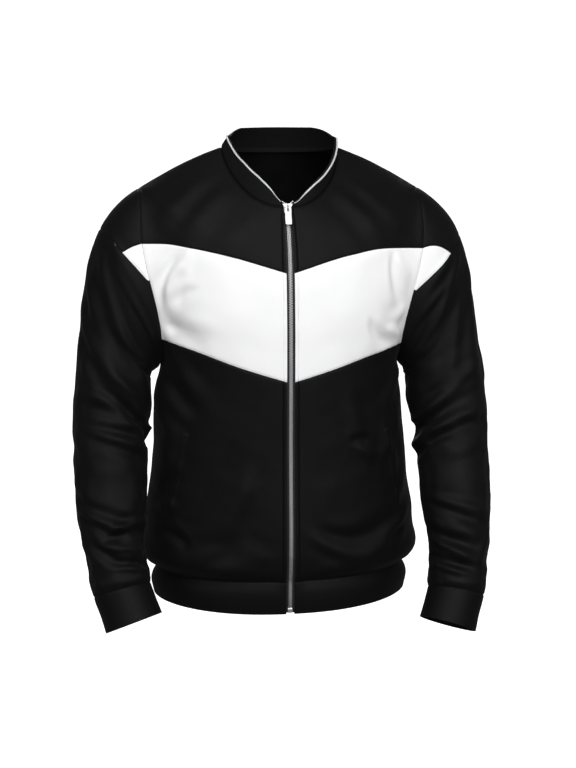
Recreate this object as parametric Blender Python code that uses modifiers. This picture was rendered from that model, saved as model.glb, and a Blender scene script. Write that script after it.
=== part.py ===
"""Men's zip-front bomber jacket, closed, filled out as when it is worn, with no wearer in it.

Metres, +Z up, +X towards the wearer's left, -Y is the front. The origin lies in the middle of the
neck opening, level with the neck ends of the shoulder seams. Left and right are the wearer's.

Every piece of cloth is a wall lofted on one of two forms: body(turn, level) goes round the torso from
the hem to the neck seam, and sleeve(side, turn, reach) goes from the armhole to the end of the cuff.
Both give points and normals, so that neighbouring pieces end on the same line, a seam gap apart, and
walls keep their thickness along the normals.
"""

import math
from collections import namedtuple

import bmesh
import bpy
import numpy as np
from mathutils import Matrix

# ---------------------------------------------------------------- driving dimensions

SEAM_GAP = 0.0003  # air between two pieces that are sewn together
CLOTH = 0.0018  # wall of the double-knit panels
DOUBLED = 0.0028  # wall of the collar, the hem band and the cuffs, which are folded double
SIDES = {"left": 1, "right": -1}

HEM_SEAM = 0.07  # levels on the body form: 0 is the hem, 1 is the neck seam
UNDERARM = 0.55
SHOULDER = 0.84

ARMHOLE_LOW = (0.1810, -0.3220)  # x and z of its lowest point, at the side seam
ARMHOLE_TOP = (0.2100, -0.0600)  # x and z of its highest point, at the shoulder seam
ARMHOLE_FRONT = 0.069  # how far the armhole's curve comes forward of the side seam
ARMHOLE_BACK = 0.074
ARMHOLE_TUCK = (0.10, 0.80)  # shares of its height between which it steps in under the arm

SLEEVE_SWING = {"left": (0.004, -0.008, -0.007), "right": (0.001, 0.006, 0.012)}
CUFF_SEAM = 1.0  # reaches on the sleeve form: 0 is the armhole
CUFF_END = 1.1
FREE_REACH = 0.30  # from here on the sleeve is a plain tube
# The black cap at the top of a sleeve: the turn at which it starts on the armhole, how deep it
# reaches at its top, how full its seam's curve is, and the turn at which the chest band's top line
# meets that seam.
Cap = namedtuple("Cap", "start reach fullness tip")
CAPS = {"left": Cap(0.226, 0.119, 2.6, 0.358), "right": Cap(0.250, 0.100, 2.07, 0.335)}
CAP_OVER = 0.006  # how far past its start the cap's curve would run out, as a share of the way round

ZIP_EDGE = 0.0060  # the fronts end this far from the centre line
CHAIN_HALF = 0.0029
TAPE_INNER = 0.0032
TAPE_OUTER = 0.0140
TAPE = 0.0010
CHAIN_LIFT = -0.0024  # the chain's front behind the panels' face
CHAIN_DEPTH = 0.0030

Ring = namedtuple("Ring", "level side_x side_z front_y front_z back_y back_z")
RINGS = (
    Ring(0.000, 0.1975, -0.6805, -0.1225, -0.6880, 0.1070, -0.6830),
    Ring(0.035, 0.2010, -0.6610, -0.1255, -0.6635, 0.1110, -0.6625),
    Ring(0.070, 0.1965, -0.6410, -0.1265, -0.6380, 0.1090, -0.6420),
    Ring(0.085, 0.1995, -0.6330, -0.1285, -0.6300, 0.1120, -0.6350),
    Ring(0.110, 0.2060, -0.6180, -0.1315, -0.6150, 0.1175, -0.6200),
    Ring(0.145, 0.2100, -0.5920, -0.1340, -0.5930, 0.1210, -0.5950),
    Ring(0.200, 0.2080, -0.5560, -0.1345, -0.5620, 0.1200, -0.5600),
    Ring(0.280, 0.2010, -0.5080, -0.1330, -0.5200, 0.1160, -0.5140),
    Ring(0.370, 0.1945, -0.4480, -0.1310, -0.4680, 0.1120, -0.4580),
    Ring(0.460, 0.1895, -0.3880, -0.1300, -0.4120, 0.1110, -0.3980),
    Ring(0.550, 0.1810, -0.3220, -0.1310, -0.3440, 0.1160, -0.3260),
    Ring(0.650, 0.0000, 0.0000, -0.1315, -0.2720, 0.1200, -0.2420),
    Ring(0.750, 0.0000, 0.0000, -0.1280, -0.2070, 0.1170, -0.1560),
    Ring(0.840, 0.0000, 0.0000, -0.1195, -0.1560, 0.1060, -0.0900),
    Ring(0.920, 0.0000, 0.0000, -0.1065, -0.1180, 0.0910, -0.0470),
    Ring(1.000, 0.0000, 0.0000, -0.0920, -0.0850, 0.0720, -0.0050),
)
SIDE_RINGS = RINGS[:11]  # above the underarm the armhole and the shoulder seam take over
ROUNDING = 0.075  # levels over which the rows round off the corners of the panels' edge
CORNER = 0.035  # levels over which the panels' edge slows down towards the underarm

# How each ring's quarter leaves the centre line and arrives at the panel's edge.
Pull = namedtuple("Pull", "level centre out round front_rise back_rise")
PULLS = (
    Pull(0.00, 0.60, 0.000, 0.068, 0.000, 0.000),
    Pull(0.46, 0.60, 0.000, 0.072, 0.000, 0.000),
    Pull(0.55, 0.61, 0.000, 0.062, 0.004, 0.004),
    Pull(0.61, 0.60, 0.014, 0.050, 0.010, 0.008),
    Pull(0.66, 0.57, 0.032, 0.040, 0.010, 0.008),
    Pull(0.73, 0.53, 0.046, 0.036, 0.008, 0.006),
    Pull(0.78, 0.50, 0.034, 0.044, 0.006, 0.004),
    Pull(0.84, 0.48, 0.014, 0.052, 0.000, -0.004),
    Pull(0.92, 0.48, 0.006, 0.052, 0.018, 0.000),
    Pull(1.00, 0.50, 0.003, 0.042, 0.042, 0.004),
)

Seam = namedtuple("Seam", "along x z")
SHOULDER_SEAM = (
    Seam(0.00, 0.2100, -0.0600),
    Seam(0.35, 0.1740, -0.0390),
    Seam(0.70, 0.1270, -0.0155),
    Seam(1.00, 0.0875, 0.0000),
)

# The lines of the chest band, as heights over the distance from the zip.
Line = namedtuple("Line", "x z")
BAND_TOP = {
    "left": (Line(0.000, -0.1794), Line(0.090, -0.1542), Line(0.145, -0.1464), Line(0.215, -0.1485)),
    "right": (
        *(Line(0.000, -0.1794), Line(0.090, -0.1532), Line(0.145, -0.1421)),
        *(Line(0.180, -0.1376), Line(0.215, -0.1376)),
    ),
}
BAND_FOOT = {
    "left": (
        *(Line(0.000, -0.3370), Line(0.078, -0.3150), Line(0.120, -0.3035)),
        *(Line(0.160, -0.2965), Line(0.200, -0.2925)),
    ),
    "right": (Line(0.000, -0.3370), Line(0.078, -0.3125), Line(0.135, -0.2930), Line(0.200, -0.2760)),
}

# The sleeve's tube: middle, half width and half depth of a section, and how far it fans up outwards.
Section = namedtuple("Section", "reach x y z half_width half_depth fan")
SECTIONS = (
    Section(0.300, 0.2490, -0.0080, -0.3200, 0.0610, 0.0620, 22.0),
    Section(0.380, 0.2535, -0.0180, -0.3680, 0.0600, 0.0600, 12.0),
    Section(0.460, 0.2590, -0.0310, -0.4150, 0.0560, 0.0570, 4.0),
    Section(0.560, 0.2600, -0.0500, -0.4700, 0.0545, 0.0550, 0.0),
    Section(0.660, 0.2600, -0.0700, -0.5230, 0.0535, 0.0520, 0.0),
    Section(0.780, 0.2585, -0.0920, -0.5750, 0.0470, 0.0470, 0.0),
    Section(0.900, 0.2530, -0.1090, -0.6200, 0.0435, 0.0440, 0.0),
    Section(0.965, 0.2495, -0.1170, -0.6420, 0.0442, 0.0445, 0.0),
    Section(1.000, 0.2475, -0.1210, -0.6530, 0.0430, 0.0405, 0.0),
    Section(1.050, 0.2395, -0.1295, -0.6760, 0.0425, 0.0400, 0.0),
    Section(1.100, 0.2315, -0.1380, -0.6990, 0.0435, 0.0405, 0.0),
)
# Directions in which the sleeve leaves the armhole.
LEAVES_UNDER = (0.45, 0.00, -0.89)
LEAVES_FRONT = (0.80, -0.12, -0.59)
LEAVES_TOP = (0.875, 0.00, -0.485)
LEAVES_BACK = (0.80, 0.14, -0.58)

# The collar's height over the neck seam and how far it leans in for each metre of its height. The
# turns go from the zip (0) over the left side (1), the back (2) and the right side (3) to the zip.
Rise = namedtuple("Rise", "turn height lean")
COLLAR_RISE = (
    Rise(0.00, 0.0060, 0.34),
    Rise(0.08, 0.0100, 0.34),
    Rise(0.15, 0.0160, 0.31),
    Rise(0.25, 0.0215, 0.22),
    Rise(0.35, 0.0240, 0.12),
    Rise(0.50, 0.0240, 0.07),
    Rise(0.65, 0.0225, 0.06),
    Rise(0.80, 0.0190, 0.08),
    Rise(1.00, 0.0145, 0.13),
    Rise(1.10, 0.0170, 0.17),
    Rise(1.20, 0.0230, 0.21),
    Rise(1.35, 0.0305, 0.27),
    Rise(1.50, 0.0340, 0.32),
    Rise(2.00, 0.0355, 0.34),
    Rise(2.50, 0.0335, 0.36),
    Rise(2.65, 0.0285, 0.42),
    Rise(2.80, 0.0225, 0.56),
    Rise(3.00, 0.0205, 0.68),
    Rise(3.15, 0.0245, 0.60),
    Rise(3.30, 0.0290, 0.48),
    Rise(3.50, 0.0345, 0.36),
    Rise(3.65, 0.0345, 0.34),
    Rise(3.75, 0.0315, 0.34),
    Rise(3.85, 0.0250, 0.34),
    Rise(3.92, 0.0160, 0.34),
    Rise(4.00, 0.0060, 0.34),
)
PIPING_RADIUS = 0.0014
PIPING_DROP = 0.0026  # below the collar's top edge

# Folds: a stroke on the surface, its height (below zero for a trough) and its width.
Fold = namedtuple("Fold", "across_0 along_0 across_1 along_1 height width")
# On the body a stroke runs between distances from the zip and heights.
FRONT_RIGHT_FOLDS = (
    Fold(0.187, -0.330, 0.189, -0.430, 0.004, 0.024),
    Fold(0.186, -0.345, 0.152, -0.392, 0.006, 0.013),
    Fold(0.172, -0.298, 0.145, -0.362, 0.004, 0.013),
    Fold(0.159, -0.400, 0.177, -0.471, 0.005, 0.015),
    Fold(0.078, -0.493, 0.126, -0.585, 0.005, 0.018),
    Fold(0.181, -0.561, 0.166, -0.583, -0.006, 0.011),
    Fold(0.174, -0.165, 0.182, -0.236, -0.005, 0.011),
    Fold(0.157, -0.216, 0.136, -0.201, -0.003, 0.012),
    Fold(0.073, -0.059, 0.142, -0.123, 0.003, 0.015),
)
FRONT_LEFT_FOLDS = (
    Fold(0.087, -0.356, 0.103, -0.410, 0.004, 0.015),
    Fold(0.098, -0.425, 0.108, -0.435, -0.005, 0.013),
    Fold(0.113, -0.435, 0.126, -0.451, 0.005, 0.012),
    Fold(0.149, -0.407, 0.151, -0.454, 0.003, 0.012),
    Fold(0.164, -0.456, 0.169, -0.496, 0.003, 0.012),
    Fold(0.040, -0.575, 0.110, -0.600, 0.003, 0.018),
    Fold(0.174, -0.576, 0.161, -0.584, -0.006, 0.011),
    Fold(0.177, -0.179, 0.168, -0.238, -0.004, 0.011),
    Fold(0.160, -0.281, 0.165, -0.259, -0.003, 0.012),
    Fold(0.055, -0.059, 0.140, -0.125, 0.003, 0.015),
)
BACK_LEFT_FOLDS = (
    Fold(0.168, -0.300, 0.090, -0.352, 0.005, 0.016),
    Fold(0.172, -0.352, 0.120, -0.400, 0.004, 0.015),
    Fold(0.165, -0.170, 0.130, -0.250, -0.004, 0.015),
    Fold(0.140, -0.540, 0.050, -0.575, 0.004, 0.018),
    Fold(0.060, -0.480, 0.030, -0.560, 0.003, 0.020),
)
BACK_RIGHT_FOLDS = (
    Fold(0.187, -0.330, 0.189, -0.430, 0.004, 0.024),
    Fold(0.172, -0.310, 0.100, -0.372, 0.005, 0.016),
    Fold(0.160, -0.270, 0.110, -0.310, 0.004, 0.015),
    Fold(0.168, -0.180, 0.140, -0.250, -0.004, 0.015),
    Fold(0.160, -0.520, 0.080, -0.585, 0.005, 0.018),
    Fold(0.040, -0.545, 0.000, -0.600, -0.003, 0.018),
)
BLOUSE_LIP = 0.0080  # how far the blousing stands over the hem seam
# On a sleeve it runs between metres round from the underarm and metres down from the armhole.
SLEEVE_ROUND = 0.36
SLEEVE_LENGTH = 0.62
SLEEVE_FOLDS = {
    "right": (
        Fold(0.180, 0.060, 0.180, 0.200, 0.002, 0.045),
        Fold(0.004, 0.070, 0.000, 0.215, -0.004, 0.020),
        Fold(0.133, 0.053, 0.071, 0.012, 0.004, 0.014),
        Fold(0.150, 0.088, 0.080, 0.165, 0.004, 0.015),
        Fold(0.168, 0.155, 0.084, 0.220, 0.004, 0.016),
        Fold(0.090, 0.214, 0.038, 0.266, 0.004, 0.015),
        Fold(0.162, 0.175, 0.101, 0.238, -0.003, 0.014),
        Fold(0.100, 0.244, 0.015, 0.297, -0.007, 0.014),
        Fold(0.030, 0.286, -0.040, 0.280, 0.006, 0.013),
        Fold(0.140, 0.268, 0.080, 0.268, -0.003, 0.014),
        Fold(0.125, 0.300, 0.055, 0.300, -0.003, 0.013),
        Fold(0.110, 0.325, 0.055, 0.325, -0.003, 0.013),
        Fold(0.155, 0.420, 0.055, 0.474, -0.003, 0.015),
        Fold(0.140, 0.452, 0.080, 0.495, 0.003, 0.014),
        Fold(0.090, 0.494, 0.015, 0.486, -0.004, 0.014),
        Fold(0.110, 0.508, 0.040, 0.526, 0.004, 0.014),
        Fold(0.138, 0.500, 0.080, 0.570, -0.003, 0.014),
        Fold(0.085, 0.556, 0.020, 0.566, -0.004, 0.013),
        Fold(0.230, 0.240, 0.330, 0.290, 0.004, 0.016),
        Fold(0.220, 0.300, 0.300, 0.310, -0.003, 0.014),
        Fold(0.210, 0.440, 0.320, 0.480, 0.003, 0.016),
        Fold(0.220, 0.540, 0.320, 0.520, -0.003, 0.016),
    ),
    "left": (
        Fold(0.180, 0.030, 0.176, 0.310, 0.007, 0.050),
        Fold(0.115, 0.062, 0.078, 0.012, 0.004, 0.014),
        Fold(0.145, 0.090, 0.066, 0.102, 0.004, 0.015),
        Fold(0.142, 0.128, 0.125, 0.234, 0.004, 0.016),
        Fold(0.132, 0.222, 0.040, 0.268, 0.005, 0.015),
        Fold(0.125, 0.262, -0.010, 0.308, -0.006, 0.015),
        Fold(0.078, 0.316, -0.010, 0.340, -0.005, 0.014),
        Fold(0.030, 0.322, -0.040, 0.318, 0.006, 0.013),
        Fold(0.140, 0.290, 0.090, 0.300, -0.003, 0.014),
        Fold(0.040, 0.428, 0.110, 0.460, -0.003, 0.014),
        Fold(0.010, 0.476, 0.110, 0.514, -0.004, 0.015),
        Fold(0.030, 0.510, 0.090, 0.535, 0.004, 0.014),
        Fold(0.005, 0.538, 0.105, 0.560, -0.004, 0.014),
        Fold(0.225, 0.250, 0.320, 0.300, 0.004, 0.016),
        Fold(0.215, 0.320, 0.300, 0.330, -0.003, 0.014),
        Fold(0.215, 0.470, 0.320, 0.450, 0.003, 0.016),
        Fold(0.210, 0.545, 0.310, 0.530, -0.003, 0.016),
    ),
}

# ---------------------------------------------------------------- curves and forms


def curve(rows, column, at):
    """A table's column at any place, joined by a smooth curve that never overshoots its rows."""
    knots = np.array([row[0] for row in rows])
    values = np.array([getattr(row, column) for row in rows])
    steps = np.diff(knots)
    slopes = np.diff(values) / steps
    product = slopes[:-1] * slopes[1:]
    total = np.where(product > 0, slopes[:-1] + slopes[1:], 1.0)
    inner = np.where(product > 0, 2 * product / total, 0.0)
    tangents = np.concatenate([slopes[:1], inner, slopes[-1:]])
    at = np.clip(at, knots[0], knots[-1])
    index = np.clip(np.searchsorted(knots, at) - 1, 0, len(steps) - 1)
    step = steps[index]
    part = (at - knots[index]) / step
    return (
        (1 + 2 * part) * (1 - part) ** 2 * values[index]
        + part * (1 - part) ** 2 * step * tangents[index]
        + part**2 * (3 - 2 * part) * values[index + 1]
        + part**2 * (part - 1) * step * tangents[index + 1]
    )


def blend(low, high, at):
    """0 below low, 1 above high and smooth between."""
    part = np.clip((at - low) / (high - low), 0.0, 1.0)
    return part * part * (3 - 2 * part)


def unit(vectors):
    return vectors / np.linalg.norm(vectors, axis=-1, keepdims=True)


def armhole_curve(around, back):
    """The armhole on the left side, from -90 degrees at the side seam to 90 at the shoulder seam."""
    climb = (np.sin(around) + 1) / 2
    x = ARMHOLE_LOW[0] + (ARMHOLE_TOP[0] - ARMHOLE_LOW[0]) * blend(*ARMHOLE_TUCK, climb)
    y = np.where(back, ARMHOLE_BACK, -ARMHOLE_FRONT) * np.cos(around)
    z = ARMHOLE_LOW[1] + (ARMHOLE_TOP[1] - ARMHOLE_LOW[1]) * climb
    return np.stack([x, y, z], axis=-1)


def panel_edge(level, back):
    """Where a front or back ends: on the side seam, then the armhole, then the shoulder seam.
    It slows to a stop at both corners, so that no crease runs from them across the panel."""
    under = np.clip(UNDERARM - level, 0.0, None)
    seam_level = UNDERARM - under**2 / (under + CORNER) * (UNDERARM + CORNER) / UNDERARM
    around = math.pi * (blend(UNDERARM, SHOULDER, level) - 0.5)
    along = np.clip((level - SHOULDER) / (1 - SHOULDER), 0.0, 1.0)
    along = along**2 * (2 - along)
    zero = np.zeros_like(level)
    seam_x, seam_z = (curve(SIDE_RINGS, column, seam_level) for column in ("side_x", "side_z"))
    seam = np.stack([seam_x, zero, seam_z], axis=-1)
    shoulder_x, shoulder_z = (curve(SHOULDER_SEAM, column, along) for column in ("x", "z"))
    shoulder = np.stack([shoulder_x, zero, shoulder_z], axis=-1)
    edge = np.where((level < UNDERARM)[..., None], seam, armhole_curve(around, back))
    return np.where((level > SHOULDER)[..., None], shoulder, edge)


def body_quarter(share, level, back):
    """Point and its change along share, from the centre line (0) to the panel's edge (1).
    The rows aim at an edge with rounded corners. Only near it do they turn to the true one."""
    true_end = panel_edge(level, back)
    reach = ROUNDING * blend(0.30, 0.48, level) * (1 - blend(0.90, 1.0, level))
    end = sum(
        weight * panel_edge(level + step * reach, back)
        for step, weight in ((-1.0, 0.12), (-0.5, 0.23), (0.0, 0.30), (0.5, 0.23), (1.0, 0.12))
    )
    way = np.where(back, 1.0, -1.0)
    centre_y = np.where(back, curve(RINGS, "back_y", level), curve(RINGS, "front_y", level))
    centre_z = np.where(back, curve(RINGS, "back_z", level), curve(RINGS, "front_z", level))
    centre_x = np.where(back, 0.0, ZIP_EDGE)
    start = np.stack([centre_x, centre_y, centre_z], axis=-1)
    zero = np.zeros_like(centre_y)
    leave = np.stack([curve(PULLS, "centre", level) * end[..., 0], zero, zero], axis=-1)
    rise = np.where(back, curve(PULLS, "back_rise", level), curve(PULLS, "front_rise", level))
    arrive = np.stack([curve(PULLS, "out", level), -way * curve(PULLS, "round", level), rise], axis=-1)
    first, second = start + leave, end - arrive
    share = share[..., None]
    rest = 1 - share
    point = rest**3 * start + 3 * rest**2 * share * first + 3 * rest * share**2 * second
    point = point + share**3 * end
    change = 3 * rest**2 * (first - start) + 6 * rest * share * (second - first)
    change = change + 3 * share**2 * (end - second)
    point = point + share**6 * (true_end - end)
    change = change + 6 * share**5 * (true_end - end)
    return point, change


def body(turn, level):
    """Points and outward normals of the torso. turn is 0 at the zip, 1 at the left side seam,
    2 at the centre back, 3 at the right side seam and 4 at the zip again."""
    turn, level = np.broadcast_arrays(np.asarray(turn, float), np.asarray(level, float))
    right = turn > 2
    near = np.where(right, 4 - turn, turn)
    back = near > 1
    share = np.where(back, 2 - near, near)
    step = 0.002
    point, change = body_quarter(share, level, back)
    above = body_quarter(share, np.minimum(level + step, 1.0), back)[0]
    below = body_quarter(share, np.maximum(level - step, 0.0), back)[0]
    change = np.where(back[..., None], -change, change)
    normal = unit(np.cross(change, above - below))
    point = point + normal * body_folds(point, share, level, back, right)[..., None]
    mirror = np.where(right[..., None], np.array([-1.0, 1.0, 1.0]), 1.0)
    return point * mirror, normal * mirror


def trace(across, along, rows):
    """Sum of soft ridges (height above zero) and troughs along straight strokes on a surface.
    Each is highest in the middle of its stroke and runs out past both ends."""
    total = np.zeros_like(across)
    for row in rows:
        dx, dy = row.across_1 - row.across_0, row.along_1 - row.along_0
        length = math.hypot(dx, dy)
        ahead = ((across - row.across_0) * dx + (along - row.along_0) * dy) / length**2
        aside = ((along - row.along_0) * dx - (across - row.across_0) * dy) / length
        total = total + row.height * np.exp(-((aside / row.width) ** 2) - np.abs(2 * ahead - 1) ** 3)
    return total


def body_folds(point, share, level, back, right):
    """Folds of the worn body, which fade out at the zip, the armholes, the neck and the hem band."""
    across, along = np.abs(point[..., 0]), point[..., 2]
    half_way = blend(-0.03, 0.03, point[..., 1])
    front_right, front_left, back_right, back_left = (
        trace(across, along, rows)
        for rows in (FRONT_RIGHT_FOLDS, FRONT_LEFT_FOLDS, BACK_RIGHT_FOLDS, BACK_LEFT_FOLDS)
    )
    front = np.where(right, front_right, front_left)
    rear = np.where(right, back_right, back_left)
    folds = front * (1 - half_way) + rear * half_way
    near_arm = blend(UNDERARM - 0.10, UNDERARM, level) * blend(0.80, 1.0, share)
    near_ends = blend(HEM_SEAM, HEM_SEAM + 0.03, level) * (1 - blend(0.93, 1.0, level))
    near_zip = np.where(back, 1.0, blend(0.0, 0.12, share))
    lip = BLOUSE_LIP * np.exp(-(((level - 0.112) / 0.026) ** 2)) * blend(0.072, 0.095, level)
    lip = lip * np.where(back, 1.0, blend(0.02, 0.30, share))
    return folds * (1 - near_arm) * near_ends * near_zip + lip


def armhole(turn):
    """The armhole's curve on the left side, from the underarm (0) over the front to the top (0.5)."""
    turn = np.mod(turn, 1.0)
    back = turn > 0.5
    return armhole_curve(2 * math.pi * np.where(back, 1 - turn, turn) - math.pi / 2, back)


def armhole_turn(level):
    """How far round the armhole a level of the front panel's edge lies."""
    return blend(UNDERARM, SHOULDER, level) / 2


def armhole_level(turn):
    """The level at which the front panel's edge has gone that far round the armhole."""
    return UNDERARM + (SHOULDER - UNDERARM) * (0.5 - np.sin(np.arcsin(1 - 4 * turn) / 3))


def section(turn, reach):
    """A point of the sleeve's plain tube."""
    step = 0.004
    angle = 2 * math.pi * turn
    middle, ahead, behind = (
        np.stack([curve(SECTIONS, axis, at) for axis in ("x", "y", "z")], axis=-1)
        for at in (reach, reach + step, reach - step)
    )
    down = unit(ahead - behind)
    front = np.array([0.0, -1.0, 0.0])
    front = unit(front - down * (down @ front)[..., None])
    outward = np.cross(down, front)
    outward = outward * np.sign(outward[..., :1])
    fan = np.radians(curve(SECTIONS, "fan", reach))[..., None]
    outward = outward * np.cos(fan) - down * np.sin(fan)
    wide = -np.cos(angle) * curve(SECTIONS, "half_width", reach)
    deep = np.sin(angle) * curve(SECTIONS, "half_depth", reach)
    return middle + outward * wide[..., None] + front * deep[..., None]


def leaving(turn):
    """The direction in which the sleeve leaves the armhole."""
    angle = 2 * math.pi * turn
    under = np.maximum(np.cos(angle), 0.0) ** 2
    top = np.minimum(np.cos(angle), 0.0) ** 2
    front = np.maximum(np.sin(angle), 0.0) ** 2
    back = np.minimum(np.sin(angle), 0.0) ** 2
    mixed = (
        under[..., None] * np.array(LEAVES_UNDER)
        + top[..., None] * np.array(LEAVES_TOP)
        + front[..., None] * np.array(LEAVES_FRONT)
        + back[..., None] * np.array(LEAVES_BACK)
    )
    return unit(mixed)


def sleeve_head(turn):
    """Start and end of the lofted top of the sleeve, with their directions, scaled by its length."""
    start = armhole(turn)
    free = np.full_like(turn, FREE_REACH)
    end = section(turn, free)
    length = 1.12 * np.linalg.norm(end - start, axis=-1, keepdims=True)
    onward = unit(section(turn, free + 0.02) - end)
    return start, end, leaving(turn) * length, onward * length


def sleeve_base(side, turn, reach):
    start, end, leave, arrive = sleeve_head(turn)
    part = np.clip(reach / FREE_REACH, 0.0, 1.0)[..., None]
    head = (
        (1 + 2 * part) * (1 - part) ** 2 * start
        + part * (1 - part) ** 2 * leave
        + part**2 * (3 - 2 * part) * end
        + part**2 * (part - 1) * arrive
    )
    tube = section(turn, np.maximum(reach, FREE_REACH))
    point = np.where((reach < FREE_REACH)[..., None], head, tube)
    swing = blend(0.25, 1.0, reach)[..., None] * np.array(SLEEVE_SWING[side])
    return point + swing


def sleeve(side, turn, reach):
    """Points and outward normals of a sleeve. turn is 0 underneath, 0.25 in front, 0.5 outside."""
    turn, reach = np.broadcast_arrays(np.asarray(turn, float), np.asarray(reach, float))
    step = 0.002
    nearer = np.maximum(reach - step, 0.0)
    along = sleeve_base(side, turn, reach + step) - sleeve_base(side, turn, nearer)
    around = sleeve_base(side, turn + step, reach) - sleeve_base(side, turn - step, reach)
    normal = unit(np.cross(along, around))
    point = sleeve_base(side, turn, reach) + normal * sleeve_folds(side, turn, reach)[..., None]
    mirror = np.array([SIDES[side], 1.0, 1.0])
    return point * mirror, normal * mirror


def sleeve_folds(side, turn, reach):
    """Folds of a sleeve, which fade out at the armhole and at the cuff."""
    across = np.mod(turn, 1.0) * SLEEVE_ROUND
    along = reach * SLEEVE_LENGTH
    rows = SLEEVE_FOLDS[side]
    folds = sum(trace(across + turned * SLEEVE_ROUND, along, rows) for turned in (-1, 0, 1))
    return folds * blend(0.0, 0.10, reach) * (1 - blend(0.95, 0.995, reach))


def seam_normal(level, back, side):
    """The direction that all pieces share where they meet on a side seam, an armhole or a shoulder
    seam, so that their walls end face to face."""
    level = np.asarray(level, float)
    front = body(np.full_like(level, 1 - EDGE_GAP), level)[1]
    rear = body(np.full_like(level, 1 + EDGE_GAP), level)[1]
    turn = armhole_turn(level)
    arm = sleeve("left", np.where(back, 1 - turn, turn), np.zeros_like(level))[1]
    corner = np.minimum(np.abs(level - UNDERARM), np.abs(level - SHOULDER)) < 0.002
    on_arm = (level > UNDERARM) & (level < SHOULDER) & ~corner
    use_front = ~(on_arm & back)[..., None]
    use_rear = ~(on_arm & ~np.asarray(back))[..., None]
    use_arm = (on_arm | corner)[..., None]
    shared = unit(unit(front * use_front + rear * use_rear) + arm * use_arm)
    return shared * np.array([SIDES[side], 1.0, 1.0])


def sleeve_start(turn):
    """The reach at which the sleeve is a seam gap away from the armhole."""
    leave = sleeve_head(turn)[2]
    under = blend(0.85, 1.0, np.cos(2 * math.pi * turn))
    return SEAM_GAP * (1 + 3 * under) * FREE_REACH / np.linalg.norm(leave, axis=-1)


def cap_depth(side, turn):
    """The reach of the diagonal seam under the sleeve cap, below zero where there is no cap."""
    cap = CAPS[side]
    away = np.abs(np.mod(turn, 1.0) - 0.5)
    half = 0.5 - cap.start + CAP_OVER
    return cap.reach * (1 - (away / half) ** cap.fullness)


def band_line(turn, line):
    """The level at which the body form meets one of the chest band's lines."""
    turn = np.asarray(turn, float)
    low = np.full_like(turn, HEM_SEAM)
    high = np.full_like(turn, 1.0)
    for _ in range(30):
        middle = (low + high) / 2
        point = body(turn, middle)[0]
        over = point[..., 2] > curve(line, "z", np.abs(point[..., 0]))
        high = np.where(over, middle, high)
        low = np.where(over, low, middle)
    return (low + high) / 2


# ---------------------------------------------------------------- making pieces

Paint = namedtuple("Paint", "colour roughness metallic")
PAINTS = {
    "knit_black": Paint((0.013, 0.013, 0.014), 0.55, 0.0),
    "knit_white": Paint((0.86, 0.86, 0.86), 0.60, 0.0),
    "piping_grey": Paint((0.62, 0.63, 0.65), 0.45, 0.0),
    "zip_tape": Paint((0.010, 0.010, 0.011), 0.75, 0.0),
    "zip_metal": Paint((0.62, 0.62, 0.63), 0.32, 1.0),
}


def paint(name):
    material = bpy.data.materials.get(name)
    if material:
        return material
    colour, roughness, metallic = PAINTS[name]
    material = bpy.data.materials.new(name)
    material.use_nodes = True
    shader = material.node_tree.nodes["Principled BSDF"]
    shader.inputs["Base Color"].default_value = (*colour, 1.0)
    shader.inputs["Roughness"].default_value = roughness
    shader.inputs["Metallic"].default_value = metallic
    return material


def add_object(name, mesh, material):
    piece = bpy.data.objects.new(name, mesh)
    mesh.materials.append(paint(material))
    mesh.shade_smooth()
    mesh.set_sharp_from_angle(angle=math.radians(40))
    bpy.data.collections["bomber_jacket"].objects.link(piece)
    return piece


def wall(name, points, normals, thickness, material, closed=False, lift=0.0):
    """A wall with one skin through a grid of points and one behind it, a thickness further in.
    Both skins are cut into triangles along the same diagonals, so they can't cross."""
    rows, columns = points.shape[:2]
    outer = points + normals * lift
    inner = outer - normals * thickness
    vertices = np.concatenate([outer.reshape(-1, 3), inner.reshape(-1, 3)])
    back = rows * columns

    def at(row, column):
        return row * columns + column % columns

    faces = []
    spans = columns if closed else columns - 1
    for row in range(rows - 1):
        for column in range(spans):
            a, b = at(row, column), at(row, column + 1)
            c, d = at(row + 1, column + 1), at(row + 1, column)
            faces += [(a, b, c), (a, c, d)]
            faces += [(a + back, c + back, b + back), (a + back, d + back, c + back)]
    for column in range(spans):
        for row, turned in ((0, True), (rows - 1, False)):
            a, b = at(row, column), at(row, column + 1)
            rim = [(a, a + back, b + back), (a, b + back, b)]
            faces += rim if turned else [face[::-1] for face in rim]
    for row in range(rows - 1 if not closed else 0):
        for column, turned in ((0, False), (columns - 1, True)):
            a, b = at(row, column), at(row + 1, column)
            rim = [(a, a + back, b + back), (a, b + back, b)]
            faces += rim if turned else [face[::-1] for face in rim]
    mesh = bpy.data.meshes.new(name)
    mesh.from_pydata(vertices.tolist(), [], faces)
    weld(mesh)
    return add_object(name, mesh, material)


def weld(mesh):
    work = bmesh.new()
    work.from_mesh(mesh)
    bmesh.ops.remove_doubles(work, verts=work.verts, dist=1e-6)
    bmesh.ops.recalc_face_normals(work, faces=work.faces)
    work.to_mesh(mesh)
    work.free()


def grid(low, high, rows):
    """Rows between two lines, each given as one number for each column."""
    part = np.linspace(0.0, 1.0, rows + 1)[:, None]
    return low * (1 - part) + high * part


# ---------------------------------------------------------------- the body's panels

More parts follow.
